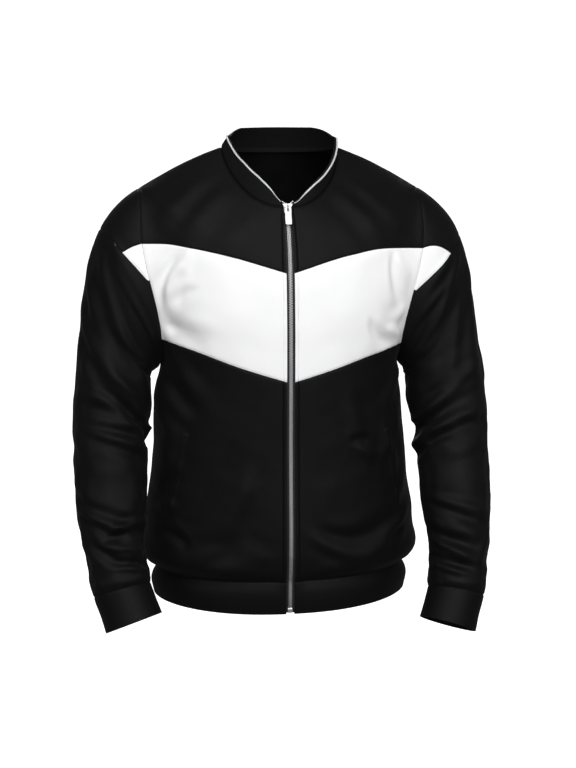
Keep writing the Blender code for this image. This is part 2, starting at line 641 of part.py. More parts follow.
EDGE_GAP = 0.0009  # a seam gap as a share of a quarter ring
LEVEL_GAP = 0.0003  # half a seam gap as a share of the body's height
COLUMN_SHARES = (0.0, 0.10, 0.20, 0.30, 0.40, 0.50, 0.60, 0.66, 0.75, 0.84, 0.92, 1.0)
SIDE_LEVELS = (0.085, 0.105, 0.13, 0.16, 0.19, 0.225, 0.265, 0.305, 0.345, 0.385, 0.425, 0.465, 0.51)
SHOULDER_LEVELS = (0.880, 0.915, 0.945, 0.975)
ARMHOLE_STOPS = 12  # steps from the underarm to the shoulder, the same on panels and sleeves
POCKET_COLUMNS = (6, 8)
POCKET_ROWS = (7, 13)
POCKET_LEAN = 0.08  # how far the columns lean forward and back for the slanted pockets
WELT = 0.0014


def quarter_turns(side):
    turns = np.array(COLUMN_SHARES) * (1.0 - EDGE_GAP)
    return turns if side == "left" else 4 - turns


def ring_turns():
    """The panels' columns all the way round, for the pieces that join all of them."""
    quarter = np.array(COLUMN_SHARES)
    rear = 2 - quarter[::-1]
    half = np.concatenate([quarter, rear[1:]])
    return np.concatenate([half, 4 - half[-2::-1]])


def armhole_stops(crossings):
    """Turns at which pieces have points on the armhole. A regular one gives way to a crossing."""
    stops = np.arange(ARMHOLE_STOPS + 1) / (2 * ARMHOLE_STOPS)
    crowd = 0.3 / ARMHOLE_STOPS / 2
    kept = [stop for stop in stops if all(abs(stop - crossing) > crowd for crossing in crossings)]
    return np.sort(np.concatenate([kept, crossings]))


def edge_levels(stops):
    """Levels of the rows that end on the side seam, the armhole and the shoulder seam."""
    return np.concatenate([SIDE_LEVELS, armhole_level(stops), SHOULDER_LEVELS])


def band_crossings(side):
    """Turns at which the chest band's foot and top meet the armhole."""
    edge = np.array([1.0])
    levels = [band_line(edge, line[side])[0] for line in (BAND_FOOT, BAND_TOP)]
    return armhole_turn(np.array(levels))


def front_stops(side):
    """Turns at which a front and its sleeve have points on the armhole."""
    return armhole_stops([*band_crossings(side), CAPS[side].start])


def rear_stops():
    """The same for the back, which is one piece and so has them alike on both sides."""
    return armhole_stops([CAPS["left"].start])


def panel_rows(low, high, levels):
    """Rows from low to high, whose ends at the panel's edge fall on the given levels."""
    first, last = low[-1], high[-1]
    inside = levels[(levels > first + 0.004) & (levels < last - 0.004)]
    part = np.concatenate([[0.0], (inside - first) / (last - first), [1.0]])[:, None]
    return low * (1 - part) + high * part


def make_front(side):
    turns = quarter_turns(side)
    foot = band_line(turns, BAND_FOOT[side])
    top = band_line(turns, BAND_TOP[side])
    levels = edge_levels(front_stops(side))
    hem = np.full_like(turns, HEM_SEAM + LEVEL_GAP)
    neck = np.ones_like(turns) - LEVEL_GAP
    panels = (
        ("front_body", hem, foot - LEVEL_GAP, "knit_black"),
        ("front_band", foot + LEVEL_GAP, top - LEVEL_GAP, "knit_white"),
        ("front_yoke", top + LEVEL_GAP, neck, "knit_black"),
    )
    for name, low, high, material in panels:
        rows = panel_rows(low, high, levels)
        if name == "front_body":
            part = (rows - rows[:1]) / (rows[-1:] - rows[:1])
            lean = POCKET_LEAN * np.sin(2 * math.pi * part) * np.sin(math.pi * np.array(COLUMN_SHARES))
            turns_here = turns + SIDES[side] * lean
        else:
            turns_here = turns
        points, normals = body(turns_here, rows)
        normals[:, -1] = seam_normal(rows[:, -1], False, side)
        wall(f"{name}_{side}", points, normals, CLOTH, material)
        if name == "front_body":
            rows, columns = slice(*POCKET_ROWS), slice(*POCKET_COLUMNS)
            place, facing = points[rows, columns], normals[rows, columns]
            wall(f"pocket_welt_{side}", place, facing, WELT, material, lift=WELT + SEAM_GAP)


def make_back():
    inside = ring_turns()
    inside = inside[(inside > 1.001) & (inside < 2.999)]
    turns = np.concatenate([[1.0 + EDGE_GAP], inside, [3.0 - EDGE_GAP]])
    low = np.full_like(turns, HEM_SEAM + LEVEL_GAP)
    high = np.full_like(turns, 1.0 - LEVEL_GAP)
    rows = panel_rows(low, high, edge_levels(rear_stops()))
    points, normals = body(turns, rows)
    normals[:, 0] = seam_normal(rows[:, 0], True, "left")
    normals[:, -1] = seam_normal(rows[:, -1], True, "right")
    wall("back", points, normals, CLOTH, "knit_black")


def make_hem_band():
    turns = ring_turns()
    low = np.zeros_like(turns)
    high = np.full_like(turns, HEM_SEAM - LEVEL_GAP)
    points, normals = body(turns, grid(low, high, 3))
    wall("hem_band", points, normals, DOUBLED, "knit_black")


# ---------------------------------------------------------------- sleeves

SLEEVE_ROWS = (
    *(0.0, 0.045, 0.090, 0.135, 0.180, 0.225, 0.270, 0.315, 0.350, 0.382, 0.414, 0.446, 0.480, 0.520),
    *(0.570, 0.620, 0.665, 0.705, 0.742, 0.778, 0.814, 0.850, 0.888, 0.928, 0.966, 1.0),
)
STEP = 0.0009  # a seam gap as a share of the way round a sleeve


def cap_ends(side):
    start = CAPS[side].start
    return start, 1 - start


def sleeve_columns(side):
    """Turns of a sleeve's columns at the armhole, where they meet the panels' rows."""
    rear = 1 - rear_stops()[1:-1]
    start, end = cap_ends(side)
    return np.sort(np.concatenate([front_stops(side), rear, [start - STEP, end + STEP]]))


def spread(side, turns, depth):
    """Where columns that start from the armhole run: the wedge widens towards the diagonal seam."""
    start, end = cap_ends(side)
    knots = (0.0, start, band_crossings(side)[1], end, 1.0)
    ends = (0.0, start, CAPS[side].tip, end, 1.0)
    return turns + depth * (np.interp(turns, knots, ends) - turns)


def armhole_normal(turns, side):
    return seam_normal(armhole_level(np.minimum(turns, 1 - turns)), turns > 0.5, side)


def make_sleeve(side):
    base = sleeve_columns(side)
    turns = spread(side, base, 1.0)
    cap_start, cap_end = cap_ends(side)
    inside = (base > cap_start - STEP / 2) & (base < cap_end + STEP / 2)
    start = sleeve_start(turns)
    top = np.where(inside, cap_depth(side, turns) + SEAM_GAP / SLEEVE_LENGTH, start)
    part = np.array(SLEEVE_ROWS)[:, None]
    reach = top * (1 - part) + (CUFF_SEAM - 0.0003) * part
    even = blend(0.0, 0.5, part)
    turns = turns * (1 - even) + np.arange(len(base)) / len(base) * even
    points, normals = sleeve(side, turns, reach)
    normals[0] = np.where(inside[:, None], normals[0], armhole_normal(turns[0], side))
    wall(f"sleeve_{side}", points, normals, CLOTH, "knit_black", closed=True)


def make_cuff(side):
    turns = sleeve_columns(side)
    low = np.full_like(turns, CUFF_SEAM + 0.0003)
    high = np.full_like(turns, CUFF_END)
    points, normals = sleeve(side, turns, grid(low, high, 3))
    wall(f"cuff_{side}", points, normals, DOUBLED, "knit_black", closed=True)


def make_cap(side):
    """The cap and its white front corner, which carries the chest band on to the diagonal seam."""
    base = sleeve_columns(side)
    border = band_crossings(side)[1]
    cap_start, cap_end = cap_ends(side)
    depth = np.linspace(0.0, 1.0, 5)[:, None]
    pieces = (
        ("sleeve_wedge", cap_start + STEP, border - STEP / 2, "knit_white"),
        ("sleeve_cap", border + STEP / 2, cap_end - STEP, "knit_black"),
    )
    for name, low, high, material in pieces:
        inside = base[(base > low + 2 * STEP) & (base < high - 2 * STEP)]
        turns = spread(side, np.concatenate([[low], inside, [high]]), depth)
        start = sleeve_start(turns)
        reach = start + (cap_depth(side, turns) - start) * depth
        points, normals = sleeve(side, turns, reach)
        normals[0] = armhole_normal(turns[0], side)
        wall(f"{name}_{side}", points, normals, CLOTH, material)


# ---------------------------------------------------------------- collar and piping


def collar_grid(turns, parts):
    """The collar's outer face: it stands on the neck seam and leans in towards the neck."""
    seam = body(turns, np.ones_like(turns))[0]
    height = curve(COLLAR_RISE, "height", turns)
    lean = curve(COLLAR_RISE, "lean", turns)
    middle = np.array([0.0, -0.010, 0.0])
    inward = unit((middle - seam) * np.array([1.0, 1.0, 0.0]))
    lift = unit(inward * lean[:, None] + np.array([0.0, 0.0, 1.0]))
    ahead = np.gradient(seam, axis=0)
    normal = unit(np.cross(ahead, lift))
    parts = np.asarray(parts)[:, None, None]
    points = seam + lift * (SEAM_GAP + height[:, None] * parts)
    return points, np.broadcast_to(normal, points.shape)


def make_collar():
    points, normals = collar_grid(ring_turns(), np.linspace(0.0, 1.0, 4))
    wall("collar", points, normals, DOUBLED, "knit_black")


def make_tube(name, path, radius, sides, material):
    """A bead along a path, made as a bevelled curve and turned into a welded mesh."""
    data = bpy.data.curves.new(name + "_path", "CURVE")
    data.dimensions = "3D"
    data.bevel_depth = radius
    data.bevel_resolution = sides
    data.use_fill_caps = True
    spline = data.splines.new("POLY")
    spline.points.add(len(path) - 1)
    for point, place in zip(spline.points, path):
        point.co = (*place, 1.0)
    guide = bpy.data.objects.new(name + "_path", data)
    bpy.context.scene.collection.objects.link(guide)
    evaluated = guide.evaluated_get(bpy.context.evaluated_depsgraph_get())
    mesh = bpy.data.meshes.new_from_object(evaluated)
    mesh.name = name
    bpy.data.objects.remove(guide)
    weld(mesh)
    mesh.materials.clear()
    return add_object(name, mesh, material)


def make_piping():
    turns = ring_turns()[1:-1]
    points, normals = collar_grid(turns, [0.0, 1.0])
    foot, top = points
    down = unit(foot - top)
    path = top + down * PIPING_DROP + normals[0] * (PIPING_RADIUS + SEAM_GAP)
    make_tube("collar_piping", path.tolist(), PIPING_RADIUS, 1, "piping_grey")


# ---------------------------------------------------------------- the zip

TAPE_FOOT = 0.0006
ZIP_FOOT = 0.0105
ZIP_HEAD = 0.985
BEHIND_HEM = 0.0010  # how much deeper the zip lies behind the hem band, which is thicker
SLIDER_Z = -0.0870  # height of the slider's middle, where the tab hangs
SLIDER_HALF = 0.0070  # half of its length along the zip
PLATE_BACK = 0.0016  # the front plate's back, behind the panels' face
PLATE_FRONT = -0.0010
SHOULDERS = (0.0148, 0.0014, 0.0052)  # the wide top of the front plate, over the fronts' edges
SHOULDERS_MIDDLE = (0.0, -0.0015, 0.0041)
SHOULDERS_TAPER = 0.74  # how much narrower they are at their lower end
BRIDGE_TOP = 0.0054  # the bridge's middle line over the panels' face
BRIDGE_FOOT = 0.0045  # from the slider's middle
WIRE = 0.0008  # radius of the bridge
HINGE = 0.0026  # the tab's axis over the panels' face
TAB = 0.0014
TAB_HALF = 0.0046
TAB_TOP = 0.0008  # from the axis to the tab's upper end
TAB_END = -0.0255
EYE_HALF = 0.0015
EYE = (-0.0062, -0.0008)
BOX_SIZE = (0.0070, 0.0028, 0.0058)
BOX_MIDDLE = -0.6838


def front_line(level):
    """Point on the centre line and the direction that faces forward there."""
    level = np.asarray(level, float)
    point, normal = body(np.zeros_like(level), level)
    point = point * np.array([0.0, 1.0, 1.0])
    return point, unit(normal * np.array([0.0, 1.0, 1.0]))


def zip_level(height):
    """The level at which the centre line has that height."""
    levels = np.linspace(0.0, 1.0, 401)
    return np.interp(height, curve(RINGS, "front_z", levels), levels)


def zip_frame(height, out=0.0):
    """A frame on the centre line: X to the side, Z up along the zip and Y into the jacket."""
    point, facing = front_line(zip_level(height))
    point = point + facing * out
    matrix = Matrix.Identity(4)
    matrix.col[1] = (*(-facing), 0.0)
    matrix.col[2] = (0.0, facing[2], -facing[1], 0.0)
    matrix.col[3] = (*point, 1.0)
    return matrix


def zip_strip(name, edges, ends, lift, thickness, material, rows=30):
    """A strip that follows the centre line between two levels."""
    levels = np.linspace(*ends, rows + 1)
    point, normal = front_line(levels)
    point = point - normal * (BEHIND_HEM * (1 - blend(0.08, 0.13, levels)))[:, None]
    across = np.linspace(*edges, 3)
    offset = np.stack([across, np.zeros(3), np.zeros(3)], axis=-1)
    points = point[:, None, :] + offset[None, :, :]
    normals = np.broadcast_to(normal[:, None, :], points.shape)
    wall(name, points, normals, thickness, material, lift=lift)


def make_zip():
    tape_lift = -(DOUBLED + 0.0008)
    for side, sign in SIDES.items():
        edges = (sign * TAPE_INNER, sign * TAPE_OUTER)
        zip_strip(f"zip_tape_{side}", edges, (TAPE_FOOT, ZIP_HEAD), tape_lift, TAPE, "zip_tape")
    chain_head = zip_level(SLIDER_Z - SLIDER_HALF - 0.0008)
    edges = (-CHAIN_HALF, CHAIN_HALF)
    zip_strip("zip_chain", edges, (ZIP_FOOT, chain_head), CHAIN_LIFT, CHAIN_DEPTH, "zip_metal")
    box = block("zip_box", (0.0, 0.0027, 0.0), BOX_SIZE, "zip_metal")
    box.matrix_world = zip_frame(BOX_MIDDLE)
    soften(box, 0.0006)


def block(name, middle, size, material):
    """A cube given by its middle and its size."""
    mesh = bpy.data.meshes.new(name)
    work = bmesh.new()
    place = Matrix.Translation(middle) @ Matrix.Diagonal((*size, 1.0))
    bmesh.ops.create_cube(work, size=1.0, matrix=place)
    work.to_mesh(mesh)
    work.free()
    return add_object(name, mesh, material)


def soften(piece, width):
    bevel = piece.modifiers.new("soft edges", "BEVEL")
    bevel.width = width
    bevel.segments = 2
    bevel.limit_method = "ANGLE"


def use_as_tool(piece):
    """Moves an object that only takes part in a Boolean out of the jacket's collection."""
    bpy.data.collections["bomber_jacket"].objects.unlink(piece)
    bpy.data.collections["cutters"].objects.link(piece)
    piece.hide_render = True
    piece.display_type = "WIRE"


def make_slider():
    """Front plate with its shoulders, back plate, the wedge between them and the tab's bridge."""
    frame = zip_frame(SLIDER_Z)
    middle = (PLATE_BACK + PLATE_FRONT) / 2
    size = (0.0112, PLATE_BACK - PLATE_FRONT, 2 * SLIDER_HALF)
    slider = block("zip_slider", (0, middle, 0), size, "zip_metal")
    slider.matrix_world = frame
    soften(slider, 0.0008)
    shoulders = block("slider_shoulders", SHOULDERS_MIDDLE, SHOULDERS, "zip_metal")
    for vertex in shoulders.data.vertices:
        if vertex.co.z < SHOULDERS_MIDDLE[2]:
            vertex.co.x *= SHOULDERS_TAPER
    wedge = block("slider_wedge", (0, 0.0035, 0.0005), (0.0054, 0.0054, 0.0110), "zip_metal")
    plate = block("slider_back", (0, 0.0060, 0), (0.0096, 0.0014, 0.0130), "zip_metal")
    turns = np.linspace(0.0, math.pi, 13)
    foot = 0.0003
    rise = np.sin(turns) * (BRIDGE_TOP - foot) + foot
    path = [(0.0, -out, up) for out, up in zip(rise, np.cos(turns) * BRIDGE_FOOT)]
    bridge = make_tube("slider_bridge", path, WIRE, 2, "zip_metal")
    for tool in (shoulders, wedge, plate, bridge):
        tool.matrix_world = frame
        join = slider.modifiers.new(tool.name, "BOOLEAN")
        join.operation = "UNION"
        join.solver = "EXACT"
        join.object = tool
        use_as_tool(tool)


def rounded(half, low, high, radius, steps=4):
    """Corners of an upright rectangle with rounded corners."""
    points = []
    for x, z, quarter in ((half, high, 0), (-half, high, 1), (-half, low, 2), (half, low, 3)):
        x -= math.copysign(radius, x)
        z += radius if z == low else -radius
        for step in range(steps + 1):
            angle = math.pi / 2 * (quarter + step / steps)
            points.append((x + radius * math.cos(angle), z + radius * math.sin(angle)))
    return points


def make_tab():
    """The pull tab hangs from its eye on the slider's bridge. Its origin is on the hinge's axis."""
    data = bpy.data.curves.new("pull_tab_outline", "CURVE")
    data.dimensions = "2D"
    data.fill_mode = "BOTH"
    data.extrude = TAB / 2
    for outline in (rounded(TAB_HALF, TAB_END, TAB_TOP, 0.0016), rounded(EYE_HALF, *EYE, 0.0005, 2)):
        spline = data.splines.new("POLY")
        spline.points.add(len(outline) - 1)
        spline.use_cyclic_u = True
        for point, (x, z) in zip(spline.points, outline):
            point.co = (x, z, 0.0, 1.0)
    guide = bpy.data.objects.new("pull_tab_outline", data)
    bpy.context.scene.collection.objects.link(guide)
    mesh = bpy.data.meshes.new_from_object(guide.evaluated_get(bpy.context.evaluated_depsgraph_get()))
    mesh.name = "pull_tab"
    bpy.data.objects.remove(guide)
    mesh.transform(Matrix.Rotation(math.pi / 2, 4, "X"))
    weld(mesh)
    mesh.materials.clear()
    tab = add_object("pull_tab", mesh, "zip_metal")
    tab.matrix_world = zip_frame(SLIDER_Z, HINGE)


# ---------------------------------------------------------------- the jacket


def clear_scene():
    for item in list(bpy.data.objects):
        bpy.data.objects.remove(item)


def main():
    clear_scene()
    for name in ("bomber_jacket", "cutters"):
        collection = bpy.data.collections.new(name)
        bpy.context.scene.collection.children.link(collection)
    for side in SIDES:
        make_front(side)
        make_sleeve(side)
        make_cap(side)
        make_cuff(side)
    make_back()
    make_hem_band()
    make_collar()
    make_piping()
    make_zip()
    make_slider()
    make_tab()


main()
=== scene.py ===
"""Looks of the zip-front bomber jacket: cloth shells with their folds, seams and sewing, piping,
zip teeth, finishes, light and camera. Metres, +Z up, +X towards the wearer's left, -Y is the front.
Only the rows of the folds are in millimetres.

Every cloth piece is a thin shell on the form of the solid that it replaces. body(turn, level) and
sleeve(side, turn, reach) are the forms that the solids were lofted on, here with finer folds.
"""

import math
from collections import namedtuple

import bmesh
import bpy
import numpy as np
from mathutils import Matrix, Vector


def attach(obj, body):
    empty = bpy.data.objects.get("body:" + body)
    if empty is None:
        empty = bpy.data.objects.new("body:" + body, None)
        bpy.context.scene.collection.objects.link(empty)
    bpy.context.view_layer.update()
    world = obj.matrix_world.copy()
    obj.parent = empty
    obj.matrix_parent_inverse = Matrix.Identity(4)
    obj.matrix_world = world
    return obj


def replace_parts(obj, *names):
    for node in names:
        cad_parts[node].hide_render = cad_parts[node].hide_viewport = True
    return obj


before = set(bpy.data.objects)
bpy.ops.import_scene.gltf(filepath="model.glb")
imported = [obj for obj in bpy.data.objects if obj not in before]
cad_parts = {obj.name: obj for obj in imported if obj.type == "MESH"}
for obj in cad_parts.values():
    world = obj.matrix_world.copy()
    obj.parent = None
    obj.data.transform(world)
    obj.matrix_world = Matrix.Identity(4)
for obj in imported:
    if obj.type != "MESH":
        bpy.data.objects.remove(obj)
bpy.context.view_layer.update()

BODY = "jacket"

# -------- driving dimensions

SEAM_GAP = 0.0003  # air between two pieces that are sewn together
SIDES = {"left": 1, "right": -1}

HEM_SEAM = 0.07  # levels on the body form: 0 is the hem, 1 is the neck seam
UNDERARM = 0.55
SHOULDER = 0.84

ARMHOLE_LOW = (0.1810, -0.3220)  # x and z of its lowest point, at the side seam
ARMHOLE_TOP = (0.2100, -0.0600)  # x and z of its highest point, at the shoulder seam
ARMHOLE_FRONT = 0.069  # how far the armhole's curve comes forward of the side seam
ARMHOLE_BACK = 0.074
ARMHOLE_TUCK = (0.10, 0.80)  # shares of its height between which it steps in under the arm

SLEEVE_SWING = {"left": (0.004, -0.008, -0.007), "right": (0.001, 0.006, 0.012)}
CUFF_SEAM = 1.0  # reaches on the sleeve form: 0 is the armhole
CUFF_END = 1.1
FREE_REACH = 0.30  # from here on the sleeve is a plain tube
# The black cap at the top of a sleeve: the turn at which it starts on the armhole, how deep it
# reaches at its top, how full its seam's curve is, and the turn at which the chest band's top line
# meets that seam.
Cap = namedtuple("Cap", "start reach fullness tip")
CAPS = {"left": Cap(0.226, 0.119, 2.6, 0.358), "right": Cap(0.250, 0.100, 2.07, 0.335)}
CAP_OVER = 0.006  # how far past its start the cap's curve would run out, as a share of the way round

ZIP_EDGE = 0.0060  # the fronts end this far from the centre line

Ring = namedtuple("Ring", "level side_x side_z front_y front_z back_y back_z")
RINGS = (
    Ring(0.000, 0.1975, -0.6805, -0.1225, -0.6880, 0.1070, -0.6830),
    Ring(0.035, 0.2010, -0.6610, -0.1255, -0.6635, 0.1110, -0.6625),
    Ring(0.070, 0.1965, -0.6410, -0.1265, -0.6380, 0.1090, -0.6420),
    Ring(0.085, 0.1995, -0.6330, -0.1285, -0.6300, 0.1120, -0.6350),
    Ring(0.110, 0.2060, -0.6180, -0.1315, -0.6150, 0.1175, -0.6200),
    Ring(0.145, 0.2100, -0.5920, -0.1340, -0.5930, 0.1210, -0.5950),
    Ring(0.200, 0.2080, -0.5560, -0.1345, -0.5620, 0.1200, -0.5600),
    Ring(0.280, 0.2010, -0.5080, -0.1330, -0.5200, 0.1160, -0.5140),
    Ring(0.370, 0.1945, -0.4480, -0.1310, -0.4680, 0.1120, -0.4580),
    Ring(0.460, 0.1895, -0.3880, -0.1300, -0.4120, 0.1110, -0.3980),
    Ring(0.550, 0.1810, -0.3220, -0.1310, -0.3440, 0.1160, -0.3260),
    Ring(0.650, 0.0000, 0.0000, -0.1315, -0.2720, 0.1200, -0.2420),
    Ring(0.750, 0.0000, 0.0000, -0.1280, -0.2070, 0.1170, -0.1560),
    Ring(0.840, 0.0000, 0.0000, -0.1195, -0.1560, 0.1060, -0.0900),
    Ring(0.920, 0.0000, 0.0000, -0.1065, -0.1180, 0.0910, -0.0470),
    Ring(1.000, 0.0000, 0.0000, -0.0920, -0.0850, 0.0720, -0.0050),
)
SIDE_RINGS = RINGS[:11]  # above the underarm the armhole and the shoulder seam take over
ROUNDING = 0.075  # levels over which the rows round off the corners of the panels' edge
ROUNDED = (0.30, 0.48)  # levels between which that sets in
UNROUNDED = (0.90, 1.0)  # and fades out again
# The edge is averaged over that: places, and the weight of each.
SMOOTHING = ((-1.0, 0.12), (-0.5, 0.23), (0.0, 0.30), (0.5, 0.23), (1.0, 0.12))
CORNER = 0.035  # levels over which the panels' edge slows down towards the underarm

# How each ring's quarter leaves the centre line and arrives at the panel's edge.
Pull = namedtuple("Pull", "level centre out round front_rise back_rise")
PULLS = (
    Pull(0.00, 0.60, 0.000, 0.068, 0.000, 0.000),
    Pull(0.46, 0.60, 0.000, 0.072, 0.000, 0.000),
    Pull(0.55, 0.61, 0.000, 0.062, 0.004, 0.004),
    Pull(0.61, 0.60, 0.014, 0.050, 0.010, 0.008),
    Pull(0.66, 0.57, 0.032, 0.040, 0.010, 0.008),
    Pull(0.73, 0.53, 0.046, 0.036, 0.008, 0.006),
    Pull(0.78, 0.50, 0.034, 0.044, 0.006, 0.004),
    Pull(0.84, 0.48, 0.014, 0.052, 0.000, -0.004),
    Pull(0.92, 0.48, 0.006, 0.052, 0.018, 0.000),
    Pull(1.00, 0.50, 0.003, 0.042, 0.042, 0.004),
)

Seam = namedtuple("Seam", "along x z")
SHOULDER_SEAM = (
    Seam(0.00, 0.2100, -0.0600),
    Seam(0.35, 0.1740, -0.0390),
    Seam(0.70, 0.1270, -0.0155),
    Seam(1.00, 0.0875, 0.0000),
)

# The lines of the chest band, as heights over the distance from the zip.
Line = namedtuple("Line", "x z")
BAND_TOP = {
    "left": (
        Line(0.000, -0.1794),
        Line(0.090, -0.1542),
        Line(0.145, -0.1464),
        Line(0.215, -0.1485),
    ),
    "right": (
        Line(0.000, -0.1794),
        Line(0.090, -0.1532),
        Line(0.145, -0.1421),
        Line(0.180, -0.1376),
        Line(0.215, -0.1376),
    ),
}
BAND_FOOT = {
    "left": (
        Line(0.000, -0.3370),
        Line(0.078, -0.3150),
        Line(0.120, -0.3035),
        Line(0.160, -0.2965),
        Line(0.200, -0.2925),
    ),
    "right": (
        Line(0.000, -0.3370),
        Line(0.078, -0.3125),
        Line(0.135, -0.2930),
        Line(0.200, -0.2760),
    ),
}

# The sleeve's tube: middle, half width and half depth of a section, and how far it fans up outwards.
Section = namedtuple("Section", "reach x y z half_width half_depth fan")
SECTIONS = (
    Section(0.300, 0.2490, -0.0080, -0.3200, 0.0610, 0.0620, 22.0),
    Section(0.380, 0.2535, -0.0180, -0.3680, 0.0600, 0.0600, 12.0),
    Section(0.460, 0.2590, -0.0310, -0.4150, 0.0560, 0.0570, 4.0),
    Section(0.560, 0.2600, -0.0500, -0.4700, 0.0545, 0.0550, 0.0),
    Section(0.660, 0.2600, -0.0700, -0.5230, 0.0535, 0.0520, 0.0),
    Section(0.780, 0.2585, -0.0920, -0.5750, 0.0470, 0.0470, 0.0),
    Section(0.900, 0.2530, -0.1090, -0.6200, 0.0435, 0.0440, 0.0),
    Section(0.965, 0.2495, -0.1170, -0.6420, 0.0442, 0.0445, 0.0),
    Section(1.000, 0.2475, -0.1210, -0.6530, 0.0430, 0.0405, 0.0),
    Section(1.050, 0.2395, -0.1295, -0.6760, 0.0425, 0.0400, 0.0),
    Section(1.100, 0.2315, -0.1380, -0.6990, 0.0435, 0.0405, 0.0),
)
# Directions in which the sleeve leaves the armhole: underneath, on top, in front and behind.
LEAVES = ((0.45, 0.00, -0.89), (0.875, 0.00, -0.485), (0.80, -0.12, -0.59), (0.80, 0.14, -0.58))
HEAD_PULL = 1.12  # how strongly it keeps to them, in lengths of the sleeve's lofted top

# The collar's height over the neck seam and how far it leans in for each metre of its height. The
# turns go from the zip (0) over the left side (1), the back (2) and the right side (3) to the zip.
Rise = namedtuple("Rise", "turn height lean")
COLLAR_RISE = (
    Rise(0.00, 0.0060, 0.34),
    Rise(0.08, 0.0100, 0.34),
    Rise(0.15, 0.0160, 0.31),
    Rise(0.25, 0.0215, 0.22),
    Rise(0.35, 0.0240, 0.12),
    Rise(0.50, 0.0240, 0.07),
    Rise(0.65, 0.0225, 0.06),
    Rise(0.80, 0.0190, 0.08),
    Rise(1.00, 0.0145, 0.13),
    Rise(1.10, 0.0170, 0.17),
    Rise(1.20, 0.0230, 0.21),
    Rise(1.35, 0.0305, 0.27),
    Rise(1.50, 0.0340, 0.32),
    Rise(2.00, 0.0355, 0.34),
    Rise(2.50, 0.0335, 0.36),
    Rise(2.65, 0.0285, 0.42),
    Rise(2.80, 0.0225, 0.56),
    Rise(3.00, 0.0205, 0.68),
    Rise(3.15, 0.0245, 0.60),
    Rise(3.30, 0.0290, 0.48),
    Rise(3.50, 0.0345, 0.36),
    Rise(3.65, 0.0345, 0.34),
    Rise(3.75, 0.0315, 0.34),
    Rise(3.85, 0.0250, 0.34),
    Rise(3.92, 0.0160, 0.34),
    Rise(4.00, 0.0060, 0.34),
)
PIPING_RADIUS = 0.0014
PIPING_DROP = 0.0026  # below the collar's top edge

# Folds: a stroke on the surface, its height (below zero for a trough), its width and how far its
# middle bends to one side.
Fold = namedtuple("Fold", "across_0 along_0 across_1 along_1 height width bend")


def strokes(*rows):
    """Folds from rows in millimetres."""
    return tuple(Fold(*(value / 1000 for value in row)) for row in rows)


# On the body a stroke runs between distances from the zip and heights. The first of the right side
# is the swell that stands against the sleeve, in front and behind.
SIDE_SWELL = (187, -330, 189, -430, 4, 24, 0)
FRONT_RIGHT_FOLDS = strokes(
    SIDE_SWELL,
    (190, -335, 146, -398, 5, 9, 4),
    (176, -292, 138, -368, 3.4, 10, -6),
    (188, -365, 168, -420, 3.6, 8, 0),
    (159, -400, 177, -471, 4.2, 11, 4),
    (150, -330, 112, -400, 2, 14, -6),
    (60, -470, 132, -590, 5.2, 15, -8),
    (100, -585, 152, -600, 3, 10, 0),
    (150, -585, 188, -562, -5.2, 8, 2),
    (192, -535, 168, -520, 3.6, 8, 3),
    (188, -500, 160, -478, -2.4, 9, 0),
    (30, -600, 75, -585, 1.8, 12, 0),
    (162, -156, 190, -230, -5, 6, 6),
    (140, -144, 156, -178, 3, 7, 0),
    (154, -168, 174, -222, 3.4, 8, 5),
    (134, -200, 166, -224, -2.8, 7, 3),
    (188, -240, 120, -284, -3.4, 14, 4),
    (190, -262, 168, -276, 3.6, 7, 0),
    (70, -50, 152, -132, 3, 12, 4),
    (105, -40, 182, -108, 2.6, 10, 3),
    (45, -92, 95, -148, 1.4, 12, 0),
)
FRONT_LEFT_FOLDS = strokes(
    (87, -350, 105, -418, 3.4, 11, 4),
    (92, -424, 116, -434, -4.2, 7, 2),
    (102, -430, 126, -458, 4.6, 8, 0),
    (184, -330, 150, -385, 3.6, 9, -4),
    (149, -400, 152, -462, 3.4, 8, 2),
    (172, -380, 166, -440, 2.6, 8, 0),
    (164, -450, 170, -505, 3.2, 8, -2),
    (186, -480, 168, -530, 3, 9, 3),
    (28, -566, 188, -562, 5.4, 12, -30),
    (50, -560, 150, -556, -3, 14, -20),
    (86, -352, 134, -430, -3.4, 13, 6),
    (180, -572, 152, -588, -5, 7, 0),
    (190, -545, 170, -560, 3, 7, 0),
    (156, -160, 170, -226, -4, 6, -3),
    (164, -156, 188, -198, 3.2, 7, 0),
    (184, -236, 158, -256, 2.2, 8, 0),
    (120, -250, 156, -290, -4.2, 8, -6),
    (150, -262, 178, -288, 3.4, 9, 3),
    (52, -50, 142, -128, 3, 12, 5),
    (90, -42, 172, -116, 2.6, 10, 3),
)
BACK_LEFT_FOLDS = strokes(
    (182, -300, 80, -358, 4.8, 12, 8),
    (180, -340, 112, -408, 3.8, 11, 6),
    (186, -385, 150, -440, 3, 10, 3),
    (170, -160, 128, -256, -3.4, 12, 6),
    (186, -225, 140, -300, 3, 10, 5),
    (182, -520, 50, -582, 4.4, 14, 16),
    (60, -470, 26, -570, 2.8, 15, 6),
    (150, -590, 80, -600, -3, 10, 3),
    (62, -40, 120, -120, 2.2, 14, 6),
)
BACK_RIGHT_FOLDS = strokes(
    SIDE_SWELL,
    (182, -318, 92, -384, 4.6, 12, 7),
    (184, -270, 106, -318, 3.6, 11, 6),
    (186, -372, 146, -432, 3.2, 10, -2),
    (172, -176, 138, -256, -3.4, 12, 5),
    (178, -500, 80, -590, 4.6, 14, 10),
    (46, -530, 0, -604, -2.6, 14, 4),
    (120, -460, 70, -540, 2.6, 14, 6),
    (180, -585, 130, -600, -3, 9, 0),
    (70, -50, 140, -132, 2.2, 14, 6),
)
BLOUSE_LIP = 0.0080  # how far the blousing stands over the hem seam
HEM_TUCK = 0.0040  # how much deeper the hem seam lies
LIP_LEVEL = 0.112  # where the blousing stands out furthest
